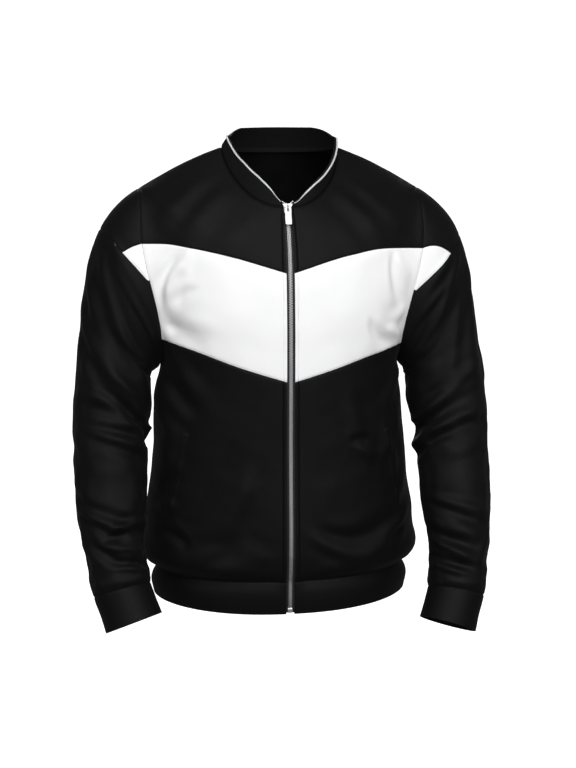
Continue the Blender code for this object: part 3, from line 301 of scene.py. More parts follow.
LIP_WIDTH = 0.026
TUCK_WIDTH = 0.013
# Levels or shares between which the lip and the tuck set in, and the folds fade out at the zip,
# the armhole and the neck.
LIP_LEVELS, LIP_SHARES, TUCK_SHARES = (0.072, 0.095), (0.02, 0.30), (0.0, 0.06)
ZIP_FADE, ARM_FADE, NECK_FADE = (0.0, 0.12), (0.80, 1.0), (0.93, 1.0)
HEM_FADE = 0.03  # levels over the hem seam in which the folds fade out there
ARM_FADE_BELOW = 0.10  # levels below the underarm at which the fade at the armhole begins
FRONT_TO_BACK = (-0.03, 0.03)  # y between which the front's folds give way to the back's
FRONT_WAVES, SLEEVE_WAVES = 0.6, 1.4  # how strong the unevenness is, in shares of the back's
# On a sleeve a stroke runs between distances round from the underarm and down from the armhole,
# where one turn counts as SLEEVE_ROUND and one reach as SLEEVE_LENGTH.
SLEEVE_ROUND = 0.36
SLEEVE_LENGTH = 0.62
SWING_REACH = (0.25, 1.0)  # reaches between which a sleeve's swing sets in
# Reaches between which its folds set in at the armhole and fade out at the cuff, and between which
# its unevenness sets in.
SLEEVE_FADE, CUFF_FADE, WAVES_FADE = (0.0, 0.10), (0.95, 0.995), (0.05, 0.20)
SLEEVE_FOLDS = {
    "right": strokes(
        (180, 60, 180, 200, 2, 45, 0),
        (4, 70, 0, 215, -4, 20, 0),
        (140, 52, 66, 10, 3.6, 9, -4),
        (124, 60, 50, 40, 2.6, 8, 0),
        (150, 74, 72, 150, 3.8, 10, 6),
        (166, 110, 94, 200, 3.4, 10, 6),
        (172, 150, 78, 224, 4, 11, 4),
        (162, 175, 98, 240, -3, 9, 3),
        (96, 206, 32, 270, 4.2, 10, 5),
        (60, 170, 20, 240, 2.6, 10, 3),
        (108, 238, 12, 298, -6.6, 9, 4),
        (74, 236, 0, 276, -3, 8, 2),
        (30, 284, -40, 278, 5.8, 10, 0),
        (22, 308, -30, 316, -5, 8, 0),
        (152, 262, 72, 270, -3.8, 9, -3),
        (160, 248, 96, 252, 2.6, 8, 0),
        (132, 286, 40, 304, -3.8, 8, -3),
        (120, 302, 20, 330, 3.2, 8, -2),
        (118, 318, 20, 346, -2.8, 9, -2),
        (170, 300, 120, 350, 2.2, 12, 3),
        (164, 404, 48, 470, -3.2, 10, -6),
        (160, 424, 60, 486, 3, 9, -5),
        (150, 446, 74, 498, -3.2, 8, -3),
        (100, 498, 12, 484, -4.2, 9, 3),
        (94, 480, 10, 462, 3.2, 8, 2),
        (124, 504, 34, 530, 4.2, 9, -4),
        (146, 488, 76, 576, -3.4, 9, 5),
        (166, 500, 110, 570, 2.8, 10, 4),
        (94, 548, 10, 564, -4.4, 8, -3),
        (100, 566, 30, 582, 2.6, 7, 0),
        (230, 60, 290, 20, 3, 12, 4),
        (210, 110, 270, 190, 3, 14, 4),
        (226, 236, 336, 292, 4.2, 12, -6),
        (220, 286, 316, 312, -3.4, 10, -4),
        (212, 330, 300, 336, 2.6, 12, 4),
        (206, 440, 326, 486, 3.2, 12, -6),
        (214, 480, 320, 510, -3.2, 10, -4),
        (220, 548, 326, 520, -3.2, 10, 4),
        (190, 560, 260, 578, 2.6, 10, 0),
    ),
    "left": strokes(
        (180, 30, 176, 310, 7, 50, 0),
        (120, 60, 70, 10, 3.6, 8, -3),
        (108, 78, 60, 24, 3, 8, -2),
        (142, 78, 68, 108, 3.6, 9, 5),
        (150, 100, 76, 150, -2.6, 10, 4),
        (150, 126, 128, 240, 4.2, 11, 4),
        (122, 140, 90, 222, 2.4, 10, 4),
        (138, 218, 34, 270, 4.6, 10, 5),
        (108, 228, 36, 250, -3, 8, 3),
        (134, 256, -10, 308, -5.8, 10, 5),
        (130, 280, 10, 322, 3.6, 8, 3),
        (90, 308, -10, 340, -5, 9, 2),
        (30, 322, -40, 318, 5.8, 10, 0),
        (28, 290, -30, 286, -5, 8, 0),
        (150, 290, 86, 302, -3.2, 9, -3),
        (144, 316, 64, 346, 2.6, 10, -3),
        (26, 412, 130, 448, 2.8, 10, 4),
        (34, 428, 118, 466, -3.4, 9, 4),
        (12, 452, 120, 492, 2.8, 9, 5),
        (6, 474, 116, 520, -4.2, 9, 5),
        (20, 504, 100, 540, 4, 8, 4),
        (140, 480, 110, 560, 2.8, 10, -3),
        (2, 534, 108, 564, -4.2, 8, 3),
        (20, 560, 90, 580, 2.6, 7, 2),
        (230, 64, 292, 22, 3, 12, 4),
        (206, 130, 268, 200, 3, 14, 4),
        (222, 248, 326, 302, 4.2, 12, -6),
        (214, 300, 312, 330, -3.4, 10, -4),
        (210, 350, 290, 356, 2.6, 12, 3),
        (212, 474, 326, 448, 3.2, 12, 5),
        (216, 500, 322, 490, -3.2, 10, 3),
        (208, 548, 316, 528, -3.2, 10, 3),
        (190, 562, 250, 580, 2.6, 10, 0),
    ),
}
# Beside a ridge runs a slight dip: its share of the ridge's height, and its place and width in widths
# of the ridge.
DIP, DIP_PLACE, DIP_WIDTH = 0.28, 1.9, 0.8
# Crossing waves of unevenness: length, lean and height.
WAVES = ((0.088, 0.3, 0.00042), (0.061, 1.5, 0.00034), (0.043, 2.4, 0.00026), (0.031, 0.9, 0.00016))
TAPER = 0.5  # how much wider a stroke ends than it starts, in mean widths

# -------- curves and forms

NEARBY = 0.002  # turns, levels or reaches between which a form's directions are taken


def hermite(part, start, leave, end, arrive, step=1.0):
    """A cubic from start to end that leaves and arrives in the given directions."""
    return (
        (1 + 2 * part) * (1 - part) ** 2 * start
        + part * (1 - part) ** 2 * step * leave
        + part**2 * (3 - 2 * part) * end
        + part**2 * (part - 1) * step * arrive
    )


def curve(rows, column, at):
    """A table's column at any place, joined by a smooth curve that never overshoots its rows."""
    knots = np.array([row[0] for row in rows])
    values = np.array([getattr(row, column) for row in rows])
    steps = np.diff(knots)
    slopes = np.diff(values) / steps
    product = slopes[:-1] * slopes[1:]
    total = np.where(product > 0, slopes[:-1] + slopes[1:], 1.0)
    inner = np.where(product > 0, 2 * product / total, 0.0)
    tangents = np.concatenate([slopes[:1], inner, slopes[-1:]])
    at = np.clip(at, knots[0], knots[-1])
    index = np.clip(np.searchsorted(knots, at) - 1, 0, len(steps) - 1)
    step = steps[index]
    part = (at - knots[index]) / step
    return hermite(part, values[index], tangents[index], values[index + 1], tangents[index + 1], step)


def blend(low, high, at):
    """0 below low, 1 above high and smooth between."""
    part = np.clip((at - low) / (high - low), 0.0, 1.0)
    return part * part * (3 - 2 * part)


def bell(at, width, middle=0.0):
    """1 in the middle, falling off smoothly to both sides."""
    return np.exp(-(((at - middle) / width) ** 2))


def between(low, high, part):
    return low * (1 - part) + high * part


def unit(vectors):
    return vectors / np.linalg.norm(vectors, axis=-1, keepdims=True)


def armhole_curve(around, back):
    """The armhole on the left side, from -90 degrees at the side seam to 90 at the shoulder seam."""
    climb = (np.sin(around) + 1) / 2
    x = ARMHOLE_LOW[0] + (ARMHOLE_TOP[0] - ARMHOLE_LOW[0]) * blend(*ARMHOLE_TUCK, climb)
    y = np.where(back, ARMHOLE_BACK, -ARMHOLE_FRONT) * np.cos(around)
    z = ARMHOLE_LOW[1] + (ARMHOLE_TOP[1] - ARMHOLE_LOW[1]) * climb
    return np.stack([x, y, z], axis=-1)


def panel_edge(level, back):
    """Where a front or back ends: on the side seam, then the armhole, then the shoulder seam.
    It slows to a stop at both corners, so that no crease runs from them across the panel."""
    under = np.clip(UNDERARM - level, 0.0, None)
    seam_level = UNDERARM - under**2 / (under + CORNER) * (UNDERARM + CORNER) / UNDERARM
    around = math.pi * (blend(UNDERARM, SHOULDER, level) - 0.5)
    along = np.clip((level - SHOULDER) / (1 - SHOULDER), 0.0, 1.0)
    along = along**2 * (2 - along)
    zero = np.zeros_like(level)
    seam_x, seam_z = (curve(SIDE_RINGS, column, seam_level) for column in ("side_x", "side_z"))
    seam = np.stack([seam_x, zero, seam_z], axis=-1)
    shoulder_x, shoulder_z = (curve(SHOULDER_SEAM, column, along) for column in ("x", "z"))
    shoulder = np.stack([shoulder_x, zero, shoulder_z], axis=-1)
    edge = np.where((level < UNDERARM)[..., None], seam, armhole_curve(around, back))
    return np.where((level > SHOULDER)[..., None], shoulder, edge)


def body_quarter(share, level, back):
    """Point and its change along share, from the centre line (0) to the panel's edge (1).
    The rows aim at an edge with rounded corners. Only near it do they turn to the true one."""
    true_end = panel_edge(level, back)
    reach = ROUNDING * blend(*ROUNDED, level) * (1 - blend(*UNROUNDED, level))
    end = sum(weight * panel_edge(level + step * reach, back) for step, weight in SMOOTHING)

    def half(rows, value):
        return np.where(back, curve(rows, f"back_{value}", level), curve(rows, f"front_{value}", level))

    start = np.stack([np.where(back, 0.0, ZIP_EDGE), half(RINGS, "y"), half(RINGS, "z")], axis=-1)
    zero = np.zeros_like(level)
    leave = np.stack([curve(PULLS, "centre", level) * end[..., 0], zero, zero], axis=-1)
    inward = np.where(back, -1.0, 1.0) * curve(PULLS, "round", level)
    arrive = np.stack([curve(PULLS, "out", level), inward, half(PULLS, "rise")], axis=-1)
    first, second = start + leave, end - arrive
    share = share[..., None]
    rest = 1 - share
    point = rest**3 * start + 3 * rest**2 * share * first + 3 * rest * share**2 * second
    point = point + share**3 * end
    change = 3 * rest**2 * (first - start) + 6 * rest * share * (second - first)
    change = change + 3 * share**2 * (end - second)
    point = point + share**6 * (true_end - end)
    change = change + 6 * share**5 * (true_end - end)
    return point, change


def body(turn, level):
    """Points and outward normals of the torso. turn is 0 at the zip, 1 at the left side seam,
    2 at the centre back, 3 at the right side seam and 4 at the zip again."""
    turn, level = np.broadcast_arrays(np.asarray(turn, float), np.asarray(level, float))
    right = turn > 2
    near = np.where(right, 4 - turn, turn)
    back = near > 1
    share = np.where(back, 2 - near, near)
    point, change = body_quarter(share, level, back)
    above = body_quarter(share, np.minimum(level + NEARBY, 1.0), back)[0]
    below = body_quarter(share, np.maximum(level - NEARBY, 0.0), back)[0]
    change = np.where(back[..., None], -change, change)
    normal = unit(np.cross(change, above - below))
    point = point + normal * body_folds(point, share, level, back, right)[..., None]
    mirror = np.where(right[..., None], np.array([-1.0, 1.0, 1.0]), 1.0)
    return point * mirror, normal * mirror


def trace(across, along, rows):
    """Sum of soft ridges (height above zero) and troughs along bent strokes on a surface. Each is
    narrow where it starts, wider where it ends, with a slight dip along both of its sides."""
    total = np.zeros_like(across)
    for row in rows:
        dx, dy = row.across_1 - row.across_0, row.along_1 - row.along_0
        length = math.hypot(dx, dy)
        ahead = ((across - row.across_0) * dx + (along - row.along_0) * dy) / length**2
        aside = ((along - row.along_0) * dx - (across - row.across_0) * dy) / length
        aside = aside - row.bend * (1 - (2 * ahead - 1) ** 2)
        width = row.width * (1 - TAPER / 2 + TAPER * np.clip(ahead, -0.2, 1.2))
        off = aside / width
        profile = bell(off, 1.0) - DIP * bell(np.abs(off), DIP_WIDTH, DIP_PLACE)
        total = total + row.height * profile * np.exp(-np.abs(2 * ahead - 1) ** 4)
    return total


def unevenness(across, along, seed):
    """Gentle unevenness of cloth that hangs: a few crossing waves, 3 to 9 cm long."""
    total = np.zeros_like(across)
    for number, (wave, lean, height) in enumerate(WAVES):
        angle = lean + 0.9 * seed
        run = across * math.cos(angle) + along * math.sin(angle)
        rest = along * math.cos(angle) - across * math.sin(angle)
        swing = np.sin(2 * math.pi * rest / (2.3 * wave) + seed + number)
        phase = 2 * math.pi * run / wave + 1.7 * number + 2.1 * seed + 1.2 * swing
        total = total + height * np.sin(phase)
    return total


def body_folds(point, share, level, back, right):
    """Folds of the worn body, which fade out at the zip, the armholes, the neck and the hem band."""
    across, along = np.abs(point[..., 0]), point[..., 2]
    half_way = blend(*FRONT_TO_BACK, point[..., 1])
    front_right, front_left, back_right, back_left = (
        trace(across, along, rows)
        for rows in (FRONT_RIGHT_FOLDS, FRONT_LEFT_FOLDS, BACK_RIGHT_FOLDS, BACK_LEFT_FOLDS)
    )
    front = np.where(right, front_right, front_left)
    rear = np.where(right, back_right, back_left)
    front = front + FRONT_WAVES * unevenness(across, along, 1.0)
    rear = rear + unevenness(across, along, 2.0)
    folds = front * (1 - half_way) + rear * half_way
    near_arm = blend(UNDERARM - ARM_FADE_BELOW, UNDERARM, level) * blend(*ARM_FADE, share)
    near_ends = blend(HEM_SEAM, HEM_SEAM + HEM_FADE, level) * (1 - blend(*NECK_FADE, level))
    near_zip, lip_share, tuck_share = (
        np.where(back, 1.0, blend(*shares, share)) for shares in (ZIP_FADE, LIP_SHARES, TUCK_SHARES)
    )
    lip = BLOUSE_LIP * bell(level, LIP_WIDTH, LIP_LEVEL) * blend(*LIP_LEVELS, level)
    lip = lip * lip_share
    tuck = HEM_TUCK * bell(level, TUCK_WIDTH, HEM_SEAM) * tuck_share
    return folds * (1 - near_arm) * near_ends * near_zip + (lip - tuck)


def armhole(turn):
    """The armhole's curve on the left side, from the underarm (0) over the front to the top (0.5)."""
    turn = np.mod(turn, 1.0)
    back = turn > 0.5
    return armhole_curve(2 * math.pi * np.where(back, 1 - turn, turn) - math.pi / 2, back)


def armhole_turn(level):
    """How far round the armhole a level of the front panel's edge lies."""
    return blend(UNDERARM, SHOULDER, level) / 2


def armhole_level(turn):
    """The level at which the front panel's edge has gone that far round the armhole."""
    return UNDERARM + (SHOULDER - UNDERARM) * (0.5 - np.sin(np.arcsin(1 - 4 * turn) / 3))


def section(turn, reach):
    """A point of the sleeve's plain tube."""
    step = 0.004
    angle = 2 * math.pi * turn
    middle, ahead, behind = (
        np.stack([curve(SECTIONS, axis, at) for axis in ("x", "y", "z")], axis=-1)
        for at in (reach, reach + step, reach - step)
    )
    down = unit(ahead - behind)
    front = np.array([0.0, -1.0, 0.0])
    front = unit(front - down * (down @ front)[..., None])
    outward = np.cross(down, front)
    outward = outward * np.sign(outward[..., :1])
    fan = np.radians(curve(SECTIONS, "fan", reach))[..., None]
    outward = outward * np.cos(fan) - down * np.sin(fan)
    wide = -np.cos(angle) * curve(SECTIONS, "half_width", reach)
    deep = np.sin(angle) * curve(SECTIONS, "half_depth", reach)
    return middle + outward * wide[..., None] + front * deep[..., None]


def leaving(turn):
    """The direction in which the sleeve leaves the armhole."""
    angle = 2 * math.pi * turn
    waves = (np.cos(angle), np.sin(angle))
    halves = [pick(wave, 0.0) ** 2 for wave in waves for pick in (np.maximum, np.minimum)]
    return unit(sum(half[..., None] * np.array(way) for half, way in zip(halves, LEAVES)))


def sleeve_head(turn):
    """Start and end of the lofted top of the sleeve, with their directions, scaled by its length."""
    start = armhole(turn)
    free = np.full_like(turn, FREE_REACH)
    end = section(turn, free)
    length = HEAD_PULL * np.linalg.norm(end - start, axis=-1, keepdims=True)
    onward = unit(section(turn, free + 0.02) - end)
    return start, end, leaving(turn) * length, onward * length


def sleeve_base(side, turn, reach):
    start, end, leave, arrive = sleeve_head(turn)
    part = np.clip(reach / FREE_REACH, 0.0, 1.0)[..., None]
    head = hermite(part, start, leave, end, arrive)
    tube = section(turn, np.maximum(reach, FREE_REACH))
    point = np.where((reach < FREE_REACH)[..., None], head, tube)
    swing = blend(*SWING_REACH, reach)[..., None] * np.array(SLEEVE_SWING[side])
    return point + swing


def sleeve(side, turn, reach):
    """Points and outward normals of a sleeve. turn is 0 underneath, 0.25 in front, 0.5 outside."""
    turn, reach = np.broadcast_arrays(np.asarray(turn, float), np.asarray(reach, float))
    nearer = np.maximum(reach - NEARBY, 0.0)
    along = sleeve_base(side, turn, reach + NEARBY) - sleeve_base(side, turn, nearer)
    around = sleeve_base(side, turn + NEARBY, reach) - sleeve_base(side, turn - NEARBY, reach)
    normal = unit(np.cross(along, around))
    point = sleeve_base(side, turn, reach) + normal * sleeve_folds(side, turn, reach)[..., None]
    mirror = np.array([SIDES[side], 1.0, 1.0])
    return point * mirror, normal * mirror


def sleeve_folds(side, turn, reach):
    """Folds of a sleeve, which fade out at the armhole and at the cuff."""
    across = np.mod(turn, 1.0) * SLEEVE_ROUND
    along = reach * SLEEVE_LENGTH
    rows = SLEEVE_FOLDS[side]
    folds = sum(trace(across + turned * SLEEVE_ROUND, along, rows) for turned in (-1, 0, 1))
    ring = np.sin(2 * math.pi * turn) * SLEEVE_ROUND / 3
    waves = SLEEVE_WAVES * unevenness(ring, along, 3.0 + SIDES[side])
    folds = folds + waves * blend(*WAVES_FADE, reach)
    return folds * blend(*SLEEVE_FADE, reach) * (1 - blend(*CUFF_FADE, reach))


def seam_normal(level, back, side):
    """The direction that all pieces share where they meet on a side seam, an armhole or a shoulder
    seam, so that their walls end face to face."""
    level = np.asarray(level, float)
    front = body(np.full_like(level, 1 - EDGE_GAP), level)[1]
    rear = body(np.full_like(level, 1 + EDGE_GAP), level)[1]
    turn = armhole_turn(level)
    arm = sleeve("left", np.where(back, 1 - turn, turn), np.zeros_like(level))[1]
    corner = np.minimum(np.abs(level - UNDERARM), np.abs(level - SHOULDER)) < 0.002
    on_arm = (level > UNDERARM) & (level < SHOULDER) & ~corner
    use_front = ~(on_arm & back)[..., None]
    use_rear = ~(on_arm & ~np.asarray(back))[..., None]
    use_arm = (on_arm | corner)[..., None]
    shared = unit(unit(front * use_front + rear * use_rear) + arm * use_arm)
    return shared * np.array([SIDES[side], 1.0, 1.0])


def sleeve_start(turn):
    """The reach at which the sleeve is a seam gap away from the armhole."""
    leave = sleeve_head(turn)[2]
    under = blend(0.85, 1.0, np.cos(2 * math.pi * turn))
    return SEAM_GAP * (1 + 3 * under) * FREE_REACH / np.linalg.norm(leave, axis=-1)


def cap_depth(side, turn):
    """The reach of the diagonal seam under the sleeve cap, below zero where there is no cap."""
    cap = CAPS[side]
    away = np.abs(np.mod(turn, 1.0) - 0.5)
    half = 0.5 - cap.start + CAP_OVER
    return cap.reach * (1 - (away / half) ** cap.fullness)


def band_line(turn, line):
    """The level at which the body form meets one of the chest band's lines."""
    turn = np.asarray(turn, float)
    low = np.full_like(turn, HEM_SEAM)
    high = np.full_like(turn, 1.0)
    for _ in range(30):
        middle = (low + high) / 2
        point = body(turn, middle)[0]
        over = point[..., 2] > curve(line, "z", np.abs(point[..., 0]))
        high = np.where(over, middle, high)
        low = np.where(over, low, middle)
    return (low + high) / 2


# -------- shells

THIN = 0.0013  # the knit itself
FOLDED = 0.0026  # where it is folded double
TAPE_THIN = 0.0003
EDGE_GAP = 0.0009  # half the gap of a side or shoulder seam, in turns
LEVEL_GAP = 0.0003  # half the gap of a level seam, in levels, and of a cuff's seam, in reach
EDGE_STOPS = (0.0, 0.0004, 0.0010, 0.0018, 0.0030, 0.0048)  # metres from an edge
ROLL = 0.0010  # how far an edge rolls in at a seam
ROLL_WIDTH = 0.0017
TURN_WIDTH = 0.0025  # how near to a seam the wall's direction turns to the shared one
PUCKER = 0.00028
PUCKER_REACH = 0.007
PUCKER_OVER, PUCKER_UP = 0.0021, 0.0029  # length of its ripples in both directions
CELL = 0.0048  # spacing of a shell's points away from its edges
ALL_EDGES = ("low", "high", "start", "end")
SHARP_CLOTH = 60  # degrees between faces from which an edge is shaded sharp
SHARP_METAL = 45


def stops(length, cell=CELL):
    """Places from 0 to 1 along a line of that length, close together near both ends."""
    near = np.array(EDGE_STOPS) / length
    inner = np.linspace(near[-1], 1 - near[-1], max(3, round(length / cell)))
    return np.concatenate([near[:-1], inner, 1 - near[-2::-1]])


def walked(points, axis):
    """Distance along the grid's rows or columns from their first point."""
    steps = np.linalg.norm(np.diff(points, axis=axis), axis=-1)
    first = np.zeros_like(np.take(steps, [0], axis=axis))
    return np.concatenate([first, np.cumsum(steps, axis=axis)], axis=axis)


def edge_distance(points, seams):
    """Distance to the nearest of the named edges, and how far along the grid that is."""
    up = walked(points, 0)
    over = walked(points, 1)
    far = np.full_like(up, 1.0)
    ways = {"low": up, "high": up[-1:] - up, "start": over, "end": over[:, -1:] - over}
    for seam in seams:
        far = np.minimum(far, ways[seam])
    return far, over, up


def shell(name, points, normals, thickness, material, seams=(), closed=False, pucker=1.0):
    """A closed thin shell through a grid of points, with its edges rolled in where they are sewn."""
    if closed:
        points = np.concatenate([points, points[:, :1]], axis=1)
        normals = np.concatenate([normals, normals[:, :1]], axis=1)
    far, over, up = edge_distance(points, seams)
    ripple = np.sin((over + 0.4 * up) / PUCKER_OVER) * np.sin((up - 0.3 * over) / PUCKER_UP + 1.0)
    lift = PUCKER * pucker * ripple * np.exp(-far / PUCKER_REACH) - ROLL * bell(far, ROLL_WIDTH)
    outer = points + normals * lift[..., None]
    if closed:
        outer, normals = outer[:, :-1], normals[:, :-1]
    inner = outer - normals * thickness
    rows, columns = outer.shape[:2]
    spans = columns if closed else columns - 1
    last, back = rows - 1, rows * columns

    def number(row, column):
        return row * columns + column % columns

    def mark(row, column):
        return np.stack([over[row, column], up[row, column]], axis=-1)

    row, column = (part.ravel() for part in np.indices((last, spans)))
    corners = [(row, column), (row, column + 1), (row + 1, column + 1), (row + 1, column)]
    quads = np.stack([number(*corner) for corner in corners], axis=1)
    marks = np.stack([mark(*corner) for corner in corners], axis=1)
    rims = [((0, c), (0, c + 1)) for c in range(spans)]
    rims += [((last, c + 1), (last, c)) for c in range(spans)]
    if not closed:
        rims += [((r + 1, 0), (r, 0)) for r in range(last)]
        rims += [((r, columns - 1), (r + 1, columns - 1)) for r in range(last)]
    a, b = np.moveaxis(np.array(rims), 0, -1)
    rim = np.stack([number(*b), number(*a), number(*a) + back, number(*b) + back], axis=1)
    rim_marks = np.stack([mark(*b), mark(*a), mark(*a), mark(*b)], axis=1)
    vertices = np.concatenate([outer.reshape(-1, 3), inner.reshape(-1, 3)])
    faces = np.concatenate([quads, quads[:, ::-1] + back, rim])
    marks = np.concatenate([marks, marks[:, ::-1], rim_marks])
    mesh = solid_mesh(name, vertices, faces.tolist(), SHARP_CLOTH, marks)
    return add_piece(name, mesh, material)


def solid_mesh(name, vertices, faces, sharp, marks=None):
    """A mesh of faces that all face outwards, smooth but for its sharp edges."""
    mesh = bpy.data.meshes.new(name)
    mesh.from_pydata(vertices.tolist(), [], faces)
    if marks is not None:
        mesh.uv_layers.new(name="cloth").data.foreach_set("uv", marks.reshape(-1))
    work = bmesh.new()
    work.from_mesh(mesh)
    bmesh.ops.recalc_face_normals(work, faces=work.faces)
    work.to_mesh(mesh)
    work.free()
    mesh.shade_smooth()
    mesh.set_sharp_from_angle(angle=math.radians(sharp))
    return mesh


def repeated(polygons, corners, count):
    """The faces of so many copies of a form, whose corners follow each other in one list."""
    firsts = range(0, count * corners, corners)
    return [[first + corner for corner in polygon] for first in firsts for polygon in polygons]


def put_in_scene(name, data):
    item = bpy.data.objects.new(name, data)
    bpy.context.scene.collection.objects.link(item)
    return item


def add_piece(name, mesh, material):
    piece = put_in_scene(name, mesh)
    mesh.materials.clear()
    mesh.materials.append(FINISHES[material])
    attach(piece, BODY)
    return piece


def cloth(node, grid, thickness, material, seams, cut, above, **options):
    """A piece of cloth in the place of its solid."""
    piece = shell(f"cloth_{node}", *grid, thickness, material, seams, **options)
    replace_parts(piece, node)


def turn_to(normals, shared, far):
    """Normals that turn to the shared direction beside a seam."""
    weight = bell(far, TURN_WIDTH)[..., None]
    return unit(between(normals, shared, weight))


def on_side(side, share):
    """A share of the way from the zip to the side seam, as a turn on that side."""
    return share if side == "left" else 4 - share


# -------- the body's panels

# Lengths of the pieces, which set how many rows and columns they get.
QUARTER_LENGTH = 0.27
BACK_LENGTH, SLEEVE_CLOTH, HEM_ROUND, BAND_DEPTH, BAND_CELL = 0.66, 0.60, 1.08, 0.05, 0.004
ZIP_SIDE = 0.36  # metres to a whole share, at its pace beside the zip
SEAM_TAPE = 0.008  # its width
SEAM_TAPE_DEPTH = 0.0029  # how far inside the cloth's face it lies
TOPSTITCH = 0.0055  # from the edge of the front
GROOVE = 0.0011  # how deep its line of stitches lies
GROOVE_WIDTH = 0.0009


def make_front(side):
    groove_stops = TOPSTITCH + np.array([-0.0007, 0.0, 0.0008, 0.0022])
    share = np.sort(np.concatenate([stops(QUARTER_LENGTH), groove_stops / ZIP_SIDE])) * (1 - EDGE_GAP)
    turns = on_side(side, share)
    foot = band_line(turns, BAND_FOOT[side])
    top = band_line(turns, BAND_TOP[side])
    panels = (
        ("front_body", HEM_SEAM + LEVEL_GAP, foot - LEVEL_GAP, 0.32, "knit_black", "front_band"),
        ("front_band", foot + LEVEL_GAP, top - LEVEL_GAP, 0.16, "knit_white", "front_yoke"),
        ("front_yoke", top + LEVEL_GAP, 1.0 - LEVEL_GAP, 0.13, "knit_black", "collar"),
    )
    for name, low, high, length, material, above in panels:
        rows = between(low, high, stops(length)[:, None])
        points, normals = body(turns, rows)
        walk = walked(points, 1)
        groove = GROOVE * bell(share * ZIP_SIDE, GROOVE_WIDTH, TOPSTITCH)
        points = points - normals * groove[:, None]
        shared = seam_normal(rows[:, -1], False, side)[:, None]
        normals = turn_to(normals, shared, walk[:, -1:] - walk)
        above = above if above == "collar" else f"{above}_{side}"
        seams = ("low", "high", "end")
        cloth(f"{name}_{side}", (points, normals), THIN, material, seams, name, [above])


def make_back():
    turns = between(1 + EDGE_GAP, 3 - EDGE_GAP, stops(2 * QUARTER_LENGTH))
    rows = between(HEM_SEAM + LEVEL_GAP, 1 - LEVEL_GAP, stops(BACK_LENGTH)[:, None])
    points, normals = body(turns, rows)
    over = walked(points, 1)
    for far, side in ((over, "left"), (over[:, -1:] - over, "right")):
        normals = turn_to(normals, seam_normal(rows[:, 0], True, side)[:, None], far)
    cloth("back", (points, normals), THIN, "knit_black", ALL_EDGES, "back", ["collar"])


def make_seam_tape(side):
    """The narrow tape inside the side seam."""
    middle = 1.0 if side == "left" else 3.0
    turns = middle + np.array([-SEAM_TAPE, 0.0, SEAM_TAPE]) / (2 * QUARTER_LENGTH)
    rows = np.linspace(HEM_SEAM + LEVEL_GAP, UNDERARM - 0.02, 60)
    points, normals = body(turns, rows[:, None])
    points = points - normals * SEAM_TAPE_DEPTH
    shell(f"seam_tape_{side}", points, normals, TAPE_THIN, "zip_tape", pucker=0.0)


def make_hem_band():
    rows = (HEM_SEAM - LEVEL_GAP) * stops(BAND_DEPTH, BAND_CELL)[:, None]
    grid = body(4 * stops(HEM_ROUND), rows)
    above = ["front_body_left", "front_body_right", "back"]
    cloth("hem_band", grid, FOLDED, "knit_black", ("high",), "hem_band", above)


# -------- sleeves

AROUND = np.arange(100) / 100  # the columns of a sleeve and a cuff
SIDE_GAP = 0.0009  # between the cap, the white corner and the sleeve, in turns


def wedge_top(side):
    edge = np.array([1.0])
    return armhole_turn(band_line(edge, BAND_TOP[side])[0])


def spread(side, turns, depth):
    """Where columns that start from the armhole run: the wedge widens towards the diagonal seam."""
    start, tip = CAPS[side].start, CAPS[side].tip
    knots = (0.0, start, wedge_top(side), 1 - start, 1.0)
    return turns + depth * (np.interp(turns, knots, (0.0, start, tip, 1 - start, 1.0)) - turns)


def armhole_normal(turns, side):
    return seam_normal(armhole_level(np.minimum(turns, 1 - turns)), turns > 0.5, side)


def make_sleeve(side):
    inside = (AROUND > CAPS[side].start) & (AROUND < 1 - CAPS[side].start)
    under_cap = cap_depth(side, AROUND) + SEAM_GAP / SLEEVE_LENGTH
    top = np.where(inside, under_cap, sleeve_start(AROUND))
    reach = between(top, CUFF_SEAM - LEVEL_GAP, stops(SLEEVE_CLOTH)[:, None])
    points, normals = sleeve(side, AROUND, reach)
    shared = np.where(inside[:, None], normals[0], armhole_normal(AROUND, side))
    grid = points, turn_to(normals, shared[None], walked(points, 0))
    seams, above = ("low", "high"), [f"sleeve_cap_{side}"]
    cloth(f"sleeve_{side}", grid, THIN, "knit_black", seams, "sleeve", above, closed=True)


def make_cuff(side):
    reach = between(CUFF_SEAM + LEVEL_GAP, CUFF_END, stops(BAND_DEPTH, BAND_CELL)[:, None])
    grid = sleeve(side, AROUND, reach)
    above = [f"sleeve_{side}"]
    cloth(f"cuff_{side}", grid, FOLDED, "knit_black", ("low",), "cuff", above, closed=True)


def make_cap(side):
    border = wedge_top(side)
    low_end, high_end = CAPS[side].start + SIDE_GAP, 1 - CAPS[side].start - SIDE_GAP
    pieces = (
        ("sleeve_wedge", low_end, border - SIDE_GAP / 2, 0.05, "knit_white", "front_band"),
        ("sleeve_cap", border + SIDE_GAP / 2, high_end, 0.19, "knit_black", "front_yoke"),
    )
    for name, low, high, length, material, above in pieces:
        depth = stops(0.06, 0.005)[:, None]
        turns = spread(side, between(low, high, stops(length)), depth)
        start = sleeve_start(turns)
        points, normals = sleeve(side, turns, start + (cap_depth(side, turns) - start) * depth)
        shared = armhole_normal(turns[0], side)[None]
        grid = points, turn_to(normals, shared, walked(points, 0))
        piece, above = f"{name}_{side}", [f"{above}_{side}"]
        cloth(piece, grid, THIN, material, ALL_EDGES, piece, above)


# -------- collar and piping

COLLAR_INSIDE = 0.0012  # how far its foot lies behind the panels
COLLAR_TUCK = 0.0030  # how far down it goes there
COLLAR_CROWN = 0.0006  # how far it bulges half way up
NECK_MIDDLE = (0.0, -0.010, 0.0)
RING_ENDS = (0.03, 3.97)  # turns beside the zip where the piping and the hem's stitches end
PIPING_THIN = 0.34  # its size at both ends, where it goes into the zip's seam


